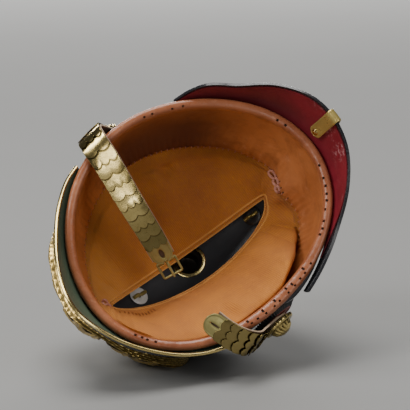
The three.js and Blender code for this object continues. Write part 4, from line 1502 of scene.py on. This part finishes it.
# Side fittings: cockades with a pleated ring, rosettes with ridged petals
MOUNT_TURN = math.radians(88.4)
MOUNT_RISE = 25.0
MOUNT_STAND = 1.4
COCKADE_THICKNESS = 4.6
STRAP_WALL = 1.8
STRAP_FACE = SEAT + COCKADE_THICKNESS + SEAT + STRAP_WALL
COCKADE_UNDER = [(2.2, 2.8), (13.4, 2.8), (15.0, 3.5), (20.4, 0.0)]
COCKADE_OVER = [(2.2, 3.8), (13.0, 3.8), (15.0, 4.6), (21.2, 1.0)]
COCKADE_PLEATS = 54
COCKADE_RINGS = (0.52, 0.7)
ROSETTE_OVER = [
    (0.02, 9.4),
    (2.2, 9.25),
    (4.0, 8.7),
    (5.8, 7.7),
    (7.5, 6.4),
    (8.6, 4.6),
    (9.4, 3.0),
    (10.2, 3.0),
    (11.0, 3.2),
    (12.2, 2.9),
    (13.0, 1.8),
    (13.0, 0.2),
]
ROSETTE_PETALS = 14


def side_mount(side):
    turn = side * MOUNT_TURN
    climb = climb_at_rise(MOUNT_RISE)
    axis = dome_normal(turn, climb)
    axis.z = 0
    axis.normalize()
    skin = dome_skin(turn, climb)
    return axis, lambda out: skin + axis * (MOUNT_STAND + out)


def along_line(points, share):
    spot = share * (len(points) - 1)
    i = min(int(spot), len(points) - 2)
    return [blend(a, b, spot - i) for a, b in zip(points[i], points[i + 1])]


def cockade_place(across, along, side):
    angle = math.tau * across
    radius, height = along_line(COCKADE_OVER if side else COCKADE_UNDER, along)
    pleat = math.cos(COCKADE_PLEATS * angle) * ease(radius, 15.0, 17.0)
    height += 0.42 * pleat
    radius += 0.35 * pleat * ease(radius, 19.0, 21.0)
    height += 0.12 * math.cos(COCKADE_PLEATS * angle / 2) * hump(radius, 4.0, 6.0, 9.0, 13.0)
    return round_point(angle, radius, height)


def make_cockade(side):
    shape = slab(cockade_place, 6 * COCKADE_PLEATS, 30, closed=True)
    chart = shape.loops.layers.uv["weave"]
    for face in shape.faces:
        along = face_shares(face, chart)[1]
        if COCKADE_RINGS[0] < along < COCKADE_RINGS[1]:
            face.material_index = 1
        elif along <= COCKADE_RINGS[0]:
            face.material_index = 2
    axis, at = side_mount(side)
    return moved(shape, frame_matrix(at(SEAT), axis, UP))


def rosette_place(across, along, side):
    angle = math.tau * across
    radius, height = along_line(ROSETTE_OVER, along)
    ridge = abs(math.sin(ROSETTE_PETALS * angle / 2))
    petal = hump(radius, 4.2, 6.5, 8.4, 9.2)
    edge = ease(radius, 10.2, 11.0)
    radius *= 1 - 0.06 * (1 - ridge) * (petal + 0.5 * edge)
    height -= 0.8 * (1 - ridge) * petal
    if not side:
        height = 0.0
        radius *= 0.98
    return round_point(angle, radius, height)


def rosette_tone(across, along, side):
    ridge = abs(math.sin(ROSETTE_PETALS * math.pi * across))
    radius, height = along_line(ROSETTE_OVER, along)
    hollow = bell(radius, 9.6, 0.8)
    return clamp(0.6 * hollow + 0.5 * (1 - ridge) ** 2 * ease(radius, 4.2, 6.5))


for word, side, ring, heart in (("left", 1, WHITE_PAINT, BLACK_PAINT), ("right", -1, RED_PAINT, RED_PAINT)):
    piece(
        f"pleated_cockade_{word}",
        make_cockade(side),
        [BLACK_PAINT, ring, heart],
        [f"cockade_{word}"],
        rounding=0.12,
    )
    axis, at = side_mount(side)
    rosette = slab(rosette_place, 12 * ROSETTE_PETALS, 33, closed=True, tone=rosette_tone)
    moved(rosette, frame_matrix(at(STRAP_FACE + SEAT), axis, UP))
    piece(f"petal_rosette_{word}", rosette, [BRASS], [f"rosette_{word}"], sharp=50)

# Chin straps: where the outer face runs after the side mount, and the scales on it
STRAP_START = 22.0
STRAP_END = 17.0
STRAP_INSET = -0.35
STRAP_OVERRUN = 7.0
STRAP_UNDER_PLATE = 13.0
STRAP_FLAT = 13.5
STRAP_EASING = 14.0
PLATE_LENGTH = 20.0
STRAP_MARKS = 200
LEFT_PATH = [
    (16.5, 99, -5),
    (20, 91.5, -12),
    (22, 75, -9),
    (25, 45, 8.5),
    (27, 18, 25.5),
    (29, -4, 41),
]
RIGHT_PATH = [
    (25.5, -95.4, 3.5),
    (33.5, -95.6, -5.5),
    (40, -89.5, -11.8),
    (44.5, -77.5, -14),
    (47, -59, -14.6),
]
SCALE_LENGTH = 13.0
SCALE_LOBE = 2.4
SCALE_ARCH = 0.5
SCALE_WALL = 0.9
SCALE_LIFT = 0.28
SPRUNG_SCALE = 6.0
SPRUNG_SPREAD = 1.9
# Patina together with painted shade: the scales darken towards the strap's end
SCALE_PATINA_AND_SHADE = 0.86


class Strap:
    def __init__(self, side, path, wide, lean, pitch, start, tilts, dulled_and_shaded):
        axis, at = side_mount(side)
        mount = at(STRAP_FACE)
        lean = math.radians(lean)
        leaving = Vector((math.sin(lean), 0, -math.cos(lean)))
        leaving = (leaving - axis * leaving.dot(axis)).normalized()
        flat = [mount + leaving * (share * STRAP_FLAT) for share in (0, 0.5, 1)]
        self.line = curve_through(flat + [Vector(spot) for spot in path])
        self.axis = axis
        self.wide = Vector(wide)
        marks = [self.line(i / STRAP_MARKS) for i in range(STRAP_MARKS + 1)]
        self.lengths = [0.0]
        for here, there in zip(marks, marks[1:]):
            self.lengths.append(self.lengths[-1] + (there - here).length)
        self.length = self.lengths[-1]
        self.pitch = pitch
        self.tilts = tilts
        self.dulled_and_shaded = dulled_and_shaded
        self.plates = math.floor((self.length - PLATE_LENGTH - start) / pitch)
        self.first = self.length - PLATE_LENGTH - self.plates * pitch

    def share_at(self, run):
        run = clamp(run, 0.0, self.length)
        low, high = 0, STRAP_MARKS
        while high - low > 1:
            mid = (low + high) // 2
            if self.lengths[mid] <= run:
                low = mid
            else:
                high = mid
        part = (run - self.lengths[low]) / max(self.lengths[high] - self.lengths[low], 1e-9)
        return (low + part) / STRAP_MARKS

    @functools.lru_cache(maxsize=None)
    def frame(self, run):
        """Point on the outer face, and the ways across, along and out."""
        kept = clamp(run, 0.0, self.length)
        share = self.share_at(kept)
        ahead = self.line(self.share_at(kept + 0.05)) - self.line(self.share_at(kept - 0.05))
        ahead.normalize()
        free = self.wide.cross(ahead).normalized()
        facing = self.axis.lerp(free, ease(run, STRAP_FLAT, STRAP_FLAT + STRAP_EASING))
        across = ahead.cross(facing).normalized()
        out = across.cross(ahead)
        return self.line(share) + ahead * (run - kept), across, ahead, out

    def point(self, run, across, along, out):
        origin, cross_way, ahead, out_way = self.frame(run)
        return origin + cross_way * across + ahead * along + out_way * out

    def width(self, run):
        return blend(STRAP_START, STRAP_END, run / self.length)

    def end_matrix(self):
        origin, across, ahead, out = self.frame(self.length - PLATE_LENGTH)
        turn = Matrix((across, ahead, out)).transposed().to_4x4()
        return Matrix.Translation(origin) @ turn


left_strap = Strap(1, LEFT_PATH, (0.914, 0, 0.406), 24, 9.4, 13.6, (0.1, 0.27), (0.5, 0.85))
right_strap = Strap(-1, RIGHT_PATH, (-0.9, 0.1, -0.42), 46, 6.9, 17, (0.18, 0.18), (-0.6, 1.1))


def make_leather(strap):
    stop = strap.length - PLATE_LENGTH + STRAP_UNDER_PLATE

    def place(across, along, side):
        run = round(blend(-STRAP_OVERRUN, stop, across), 4)
        half = strap.width(run) / 2 - STRAP_INSET
        over = 2 * along - 1
        left = (across * (stop + STRAP_OVERRUN)) / half
        narrow = math.sqrt(max(0.05, 1 - (1 - min(left, 1.0)) ** 2))
        thin = 0.25 * abs(over) ** 6
        return strap.point(run, over * half * narrow, 0, -thin if side else -STRAP_WALL + thin)

    def tone(across, along, side):
        return ease(abs(2 * along - 1), 0.88, 0.99)

    return slab(place, 120, 18, tone=tone)


def scale_edge(lobes, across):
    return SCALE_LENGTH - SCALE_LOBE * (1 - abs(math.sin(lobes * math.pi * across)) ** 0.8)


def make_scale(strap, run, lobes, before, tilt, patina):
    """One scale, lying on the next, darkened with a painted shadow where the edge of the one before crosses
    it.
    """
    half = strap.width(run) / 2

    def place(across, along, side):
        over = 2 * across - 1
        edge = scale_edge(lobes, across)
        reach = along * edge
        swell = 0.08 * abs(math.sin(lobes * math.pi * across)) * ease(along, 0.45, 0.85)
        high = SCALE_LIFT + tilt * reach + SCALE_ARCH * (1 - over * over)
        if side:
            high += SCALE_WALL - 0.25 + swell
        return strap.point(round(run + reach, 3), over * half, 0, high)

    # Painted shadow: a dark line beyond the edge of the scale before, and this scale's own edge face and
    # underside made dark
    def tone(across, along, side):
        reach = along * scale_edge(lobes, across)
        gap = reach - scale_edge(before, across) + strap.pitch
        under = 1 - ease(gap, 0.9, 1.6)
        return max(patina, under, ease(along, 0.95, 1.0), 0.0 if side else 1.0)

    return slab(place, 16 * lobes, 24, tone=tone)


EYE_START = 5.5
EYE_END = 13.4
EYE_HALVES = {"left": 1.8, "right": 0.7}
PLATE_STRAIGHT = 9.0
PLATE_TIP = 17.6
NOTCH_HALF = 1.8
NOTCH_START = 15.4
END_WALL = 0.9


def plate_outline(notched):
    half = STRAP_END / 2
    shoulder = PLATE_STRAIGHT + 5
    bow = [(half, PLATE_STRAIGHT), (half, shoulder), (half * 0.55, PLATE_TIP), (0.0, PLATE_TIP)]
    side = []
    for i in range(17):
        t = i / 16
        weights = ((1 - t) ** 3, 3 * (1 - t) ** 2 * t, 3 * (1 - t) * t * t, t**3)
        side.append(tuple(sum(w * p[k] for w, p in zip(weights, bow)) for k in (0, 1)))
    if notched:
        tip = [spot for spot in side if spot[0] > NOTCH_HALF + 0.2]
        notch = [(NOTCH_HALF, PLATE_TIP - 0.3), (NOTCH_HALF, NOTCH_START + 0.4)]
        side = [*tip, *notch, (NOTCH_HALF - 0.4, NOTCH_START), (0.0, NOTCH_START)]
    right = [(0.0, 0.0), (half * 0.5, 0.0), (half, 0.0), (half, PLATE_STRAIGHT * 0.5), *side]
    left = [(-across, along) for across, along in reversed(right[1:-1])]
    return right + left


def even_ring(points, count):
    """Points at even steps round a closed line of straight pieces."""
    loop = [*points, points[0]]
    sizes = [math.dist(a, b) for a, b in zip(loop, loop[1:])]
    whole = sum(sizes)
    ring = []
    for i in range(count):
        left = whole * i / count
        k = 0
        while left > sizes[k]:
            left -= sizes[k]
            k += 1
        ring.append(along_line(loop[k : k + 2], left / sizes[k]))
    return ring


def make_end_plate(strap, notched, eye_half):
    count = 96
    rim = even_ring(plate_outline(notched), count)
    middle = (EYE_START + EYE_END) / 2
    reach = (EYE_END - EYE_START) / 2

    def place(across, along, side):
        i = round(across * count) % count
        x, y = rim[i]
        angle = math.atan2(y - middle, x)
        eye = (eye_half * math.cos(angle), middle + reach * math.sin(angle))
        spot = along_line([eye, (x, y)], along)
        over = clamp(abs(spot[0]) / (STRAP_END / 2))
        border = 0.25 * bell(along, 0.9, 0.07) + 0.3 * bell(along, 0.06, 0.06)
        crown = 0.5 * (1 - over * over) * ease(along, 0.0, 0.2)
        high = SCALE_LIFT + (END_WALL + border + crown if side else 0.0)
        return Vector((spot[0], spot[1], high))

    def tone(across, along, side):
        return 0.15 + 0.3 * bell(along, 0.78, 0.06)

    return moved(slab(place, count, 24, closed=True, tone=tone), strap.end_matrix())


for word, strap in (("left", left_strap), ("right", right_strap)):
    shape = make_leather(strap)
    piece(f"chin_strap_{word}", shape, [STRAP_LEATHER], [f"strap_{word}"], rounding=0.15)
    for i in range(strap.plates):
        run = strap.first + i * strap.pitch
        tilt = blend(*strap.tilts, bell(i, SPRUNG_SCALE, SPRUNG_SPREAD))
        # Patina and painted shade, growing towards the strap's end
        patina = SCALE_PATINA_AND_SHADE * ease(run / strap.length, *strap.dulled_and_shaded)
        shape = make_scale(strap, run, 2 + i % 2, 3 - i % 2, tilt, patina)
        label = f"{word}_{i + 1:02d}"
        piece(f"lobed_scale_{label}", shape, [BRASS], [f"scale_{label}"], rounding=0.18)
    shape = make_end_plate(strap, word == "left", EYE_HALVES[word])
    piece(f"eyed_end_plate_{word}", shape, [DULL_BRASS], [f"end_plate_{word}"], rounding=0.15)

# Buckle in the left end plate's own frame: across, along and out
HINGE_ALONG = 17.0
HINGE_OUT = -2.2
HINGE_HANG = math.radians(7.5)
FRAME_HALF = 7.5
FRAME_REACH = 12.2
FRAME_BEND = 1.3
FRAME_ROD = 0.95
PRONG_EYE = 1.55
PRONG_TAIL = [(1.2, 0.9), (4.5, 1.1), (9.5, 1.35), (14.0, 1.6)]
KNUCKLE = [(1.25, 0), (1.95, 0), (2.1, 0.2), (2.1, 4.5), (1.95, 4.7), (1.25, 4.7)]


def hinge_matrix(hang):
    place = Matrix.Translation((0, HINGE_ALONG, HINGE_OUT))
    return left_strap.end_matrix() @ place @ Matrix.Rotation(hang, 4, "X")


def block(x0, x1, y0, y1, z0, z1, edge):
    shape = bmesh.new()
    bmesh.ops.create_cube(shape, size=1.0)
    bmesh.ops.scale(shape, vec=(x1 - x0, y1 - y0, z1 - z0), verts=shape.verts)
    bmesh.ops.translate(shape, vec=((x0 + x1) / 2, (y0 + y1) / 2, (z0 + z1) / 2), verts=shape.verts)
    bmesh.ops.bevel(
        shape,
        geom=shape.edges[:] + shape.verts[:],
        offset=edge,
        affect="EDGES",
        segments=2,
        profile=0.5,
        material=-1,
    )
    add_layers(shape)
    return shape


def make_loop():
    shapes = [block(-6.6, 6.6, -11.0, -2.6, -0.8, 0.1, 0.2)]
    for start in (-6.6, 1.9):
        turn = Matrix.Translation((start, 0, 0)) @ Matrix.Rotation(math.pi / 2, 4, "Y")
        shapes.append(moved(turned(KNUCKLE, 28, closed=True), turn))
        shapes.append(block(start, start + 4.7, -3.6, -1.55, -0.8, 0.1, 0.15))
    return moved(gathered(shapes), hinge_matrix(0.0))


def make_frame():
    half, reach = FRAME_HALF, FRAME_REACH
    spots = ((-half, 0, 0), (-half, reach, 0), (half, reach, 0), (half, 0, 0))
    corners = [Vector(spot) for spot in spots]
    points = []
    for i, corner in enumerate(corners):
        for other in (corners[i - 1], corners[(i + 1) % 4]):
            points.append(corner + (other - corner).normalized() * FRAME_BEND)
        points.insert(-1, corner + (points[-1] + points[-2] - corner * 2) * 0.2)
    ring = []
    for here, there in zip(points, points[1:] + points[:1]):
        ring.append(here)
        if (there - here).length > 4:
            ring.extend(here.lerp(there, share) for share in (0.12, 0.5, 0.88))
    return moved(rod(ring, FRAME_ROD, 160, 12, closed=True, tone=0.1), hinge_matrix(HINGE_HANG))


def make_prong():
    turns = [math.tau * i / 16 for i in range(16)]
    eye = [Vector((0, PRONG_EYE * math.cos(turn), PRONG_EYE * math.sin(turn))) for turn in turns]
    tail = [Vector((0, along, out)) for along, out in PRONG_TAIL]
    shapes = [
        moved(rod(eye, 0.36, 48, 10, closed=True), Matrix.Diagonal((3.2, 1, 1, 1))),
        moved(rod(tail, lambda share: 0.62 - 0.2 * share**3, 24, 10), Matrix.Diagonal((1.7, 1, 1, 1))),
    ]
    return moved(gathered(shapes), hinge_matrix(HINGE_HANG))


piece("buckle_tongue_loop", make_loop(), [DULL_BRASS], ["buckle_loop"], sharp=35)
piece("buckle_bar_frame", make_frame(), [DULL_BRASS], ["buckle_frame"], body="buckle")
piece("buckle_tongue_prong", make_prong(), [DULL_BRASS], ["buckle_prong"], body="prong")

# Front plate: a bird with spread wings in raised brass, by arc across, arc up and height over its back
PLATE_ARC = 95.0
PLATE_CLIMB = 105.0
PLATE_STAND = 1.0
PROUD_LEFT = 13.2
PROUD_RIGHT = 5.0
FEATHER_EDGE = 0.5
WING = [
    (30, 75, 70, 72, 13),
    (29, 70, 75, 51, 15),
    (26, 65, 70, 31, 15),
    (22, 60, 54, 18, 15),
    (16, 55, 34, 16, 14),
]
TAIL = [(2, 38, 13, 13, 11), (0, 38, 0, 10, 12), (-2, 38, -13, 13, 11)]
COVERT = (6, 66, 46, 60, 24)
PLATE_EDGE = [(78, 58), (75, 44), (66, 29), (52, 18), (34, 15), (14, 12), (0, 9.5)]
PLATE_CHASE = 46


def plate_point(across, high, out):
    side = ease(across, -24, 12)
    lower = 1 - ease(high, 32, 60.5)
    stand = PLATE_STAND + lower * blend(PROUD_RIGHT, PROUD_LEFT, side)
    return dome_point(across / PLATE_ARC, high / PLATE_CLIMB, stand + out)


def feather(row, relief, side, shift, share, lift=0.0):
    """One blade with a raised rib and slanted barbs; shift and share place it in its row's width."""
    root = Vector((row[0], row[1], 0))
    tip = Vector((row[2], row[3], 0))
    ahead = tip - root
    wide = Vector((-ahead.y, ahead.x, 0)).normalized()
    length = ahead.length

    def place(across, along, top):
        full = (row[4] / 2) * max(0.0, math.sin(math.pi * (0.2 + 0.76 * along))) ** 0.6
        over = 2 * across - 1
        spot = root.lerp(tip, along) + wide * (full * (shift + over * share))
        rib = (1 - abs(over)) ** 1.3
        barb = 0.16 * math.sin(math.tau * (along * length / 2.6 + 1.1 * abs(over)))
        stem = 0.35 * bell(over, 0.0, 0.1)
        body = FEATHER_EDGE + (relief - FEATHER_EDGE) * (0.35 + 0.65 * rib) + barb * (1 - rib * 0.5) + stem
        fall = ease(1 - along, 0.0, 0.12) * 0.6 + 0.4
        out = lift + body * fall if top else 0.0
        return plate_point(side * spot.x, spot.y, out)

    def tone(across, along, top):
        over = abs(2 * across - 1)
        return clamp(0.9 * ease(over, 0.62, 1.0) + 0.5 * (1 - ease(along, 0.0, 0.25)))

    return slab(place, 10, 34, tone=tone)


def boss(across, high, half, tall, relief, scales=0):
    """Rounded half egg over the plate's back, with small overlapping feathers if asked."""
    shape = bmesh.new()
    bmesh.ops.create_uvsphere(shape, u_segments=48, v_segments=28, radius=1.0)
    shades = add_layers(shape)[1]
    for vert in shape.verts:
        x, y, z = vert.co
        out = max(0.0, z) * relief
        if scales and z > 0.1:
            row = y * scales
            step = math.floor(row)
            column = x * scales * 0.8 + 0.5 * (step % 2)
            curve = (column - math.floor(column) - 0.5) ** 2
            depth = row - step + 1.2 * curve
            out += 0.5 * ease(1 - depth, 0.0, 0.9)
            vert[shades] = 0.7 * (1 - ease(depth, 0.0, 0.25))
        vert.co = plate_point(across + half * x, high + tall * y, out)
    bmesh.ops.recalc_face_normals(shape, faces=shape.faces)
    return shape


def make_fold():
    """The plate's lower edge, folded back to the dome and chased with small feathers."""
    right = [Vector((-across, high, 0)) for across, high in PLATE_EDGE]
    left = [Vector((across, high, 0)) for across, high in reversed(PLATE_EDGE[:-1])]
    line = curve_through(right + left)

    def chased(across, along):
        drift = 0.5 * noise.noise(Vector((across * 23, along * 3, 1)))
        step = PLATE_CHASE * across + drift + 0.5 * (math.floor(along * 4) % 2)
        return abs(math.sin(math.pi * step)) * (along * 4 % 1.0)

    def place(across, along, side):
        spot = line(across)
        high = spot.y + 1.2 - (1.0 + 0.6 * chased(across, along) if side else 0.0)
        stand = plate_point(spot.x, spot.y, 0.0) - dome_point(spot.x / PLATE_ARC, spot.y / PLATE_CLIMB, 0.0)
        out = blend(0.6, stand.length + 0.8, along)
        return dome_point(spot.x / PLATE_ARC, high / PLATE_CLIMB, out)

    def tone(across, along, side):
        return 0.6 * (1 - ease(chased(across, along), 0.1, 0.4))

    return slab(place, 6 * PLATE_CHASE, 24, tone=tone)


def make_plate():
    shapes = [
        make_fold(),
        boss(0, 52, 12, 23, 4.6, 9),
        boss(0, 79, 7, 8, 4.7, 6),
        boss(-6.5, 80, 6.5, 2.6, 3.0),
        boss(-1.6, 81.2, 1.3, 1.3, 5.2),
    ]
    between = [tuple(blend(a, b, 0.5) for a, b in zip(row, after)) for row, after in zip(WING, WING[1:])]
    for side in (1, -1):
        for row in WING:
            for shift in (-0.5, 0.5):
                shapes.append(feather(row, 1.8, side, shift, 0.54))
        for row in between:
            shapes.append(feather(row, 1.2, side, 0.0, 0.7))
        for shift in (-0.66, 0.0, 0.66):
            shapes.append(feather(COVERT, 2.4, side, shift, 0.4, 0.3))
        shapes.append(boss(side * 45, 60, 12, 9, 4.2, 5))
    for row in TAIL:
        for shift in (-0.5, 0.5):
            shapes.append(feather(row, 1.7, 1, shift, 0.54))
    return gathered(shapes)


piece("spread_bird_plate", make_plate(), [RELIEF_BRASS], ["front_plate"], sharp=60)


# Floor, light and camera
FLOOR_HALF = 12.0
WARM = (1.0, 0.985, 0.965)
CAMERA_AT = Vector((-0.0985, -1.4175, 0.4089))
CAMERA_LOOK = Vector((0.0739, 0.9753, -0.2080))
CAMERA_RIGHT = Vector((0.9970, -0.0767, -0.0056))
CAMERA_LENS = 168.75


def studio_floor():
    shape = bmesh.new()
    bmesh.ops.create_grid(shape, x_segments=1, y_segments=1, size=FLOOR_HALF)
    mesh = bpy.data.meshes.new("studio_floor")
    shape.to_mesh(mesh)
    shape.free()
    finish = new_finish("pale_floor")
    where = place_of(finish)
    colour = colours(finish, clouds(finish, where, 3.0), (0.225, 0.225, 0.22), (0.245, 0.245, 0.24))
    dress(finish, colour, 0.8, bumps(finish, clouds(finish, where, 400.0), 0.0002, 0.2))
    mesh.materials.append(finish)
    floor = bpy.data.objects.new("studio_floor", mesh)
    bpy.context.scene.collection.objects.link(floor)


def soft_light(name, place, aim, size, power, warmth):
    lamp = bpy.data.lights.new(name, "AREA")
    lamp.shape = "RECTANGLE"
    lamp.size, lamp.size_y = size
    lamp.energy = power
    lamp.color = warmth
    light = bpy.data.objects.new(name, lamp)
    light.location = place
    light.rotation_euler = (Vector(aim) - Vector(place)).to_track_quat("-Z", "Y").to_euler()
    bpy.context.scene.collection.objects.link(light)


studio_floor()
soft_light("top_softbox", (-0.2, 0.05, 1.9), (0, 0.03, 0.05), (1.3, 1.1), 39.5, (1.0, 0.985, 0.96))
soft_light("left_softbox", (-1.45, -0.95, 1.35), (0, 0, 0.1), (0.85, 0.85), 24.0, WARM)
soft_light("front_card", (-0.62, -2.27, 0.41), (-0.06, -0.04, 0.14), (0.85, 0.48), 5.8, WARM)
soft_light("right_fill", (1.25, -1.5, 1.1), (-0.03, 0, 0.08), (1.2, 1.0), 11.0, WARM)
soft_light("back_wash", (0.0, 4.0, 1.7), (0, 3.9, 0.0), (4.5, 1.0), 250.0, (1.0, 0.99, 0.975))

sky = bpy.data.worlds.new("soft_room")
sky.use_nodes = True
background = sky.node_tree.nodes["Background"]
background.inputs["Color"].default_value = (0.9, 0.92, 0.95, 1)
background.inputs["Strength"].default_value = 0.045
bpy.context.scene.world = sky


def photo_camera():
    lens = bpy.data.cameras.new("photo_camera")
    lens.sensor_width = 36.0
    lens.lens = CAMERA_LENS
    lens.clip_start = 0.05
    lens.clip_end = 60.0
    camera = bpy.data.objects.new("photo_camera", lens)
    back = -CAMERA_LOOK.normalized()
    right = (CAMERA_RIGHT - back * CAMERA_RIGHT.dot(back)).normalized()
    turn = Matrix((right, back.cross(right), back)).transposed().to_4x4()
    camera.matrix_world = Matrix.Translation(CAMERA_AT) @ turn
    bpy.context.scene.collection.objects.link(camera)
    bpy.context.scene.camera = camera


photo_camera()
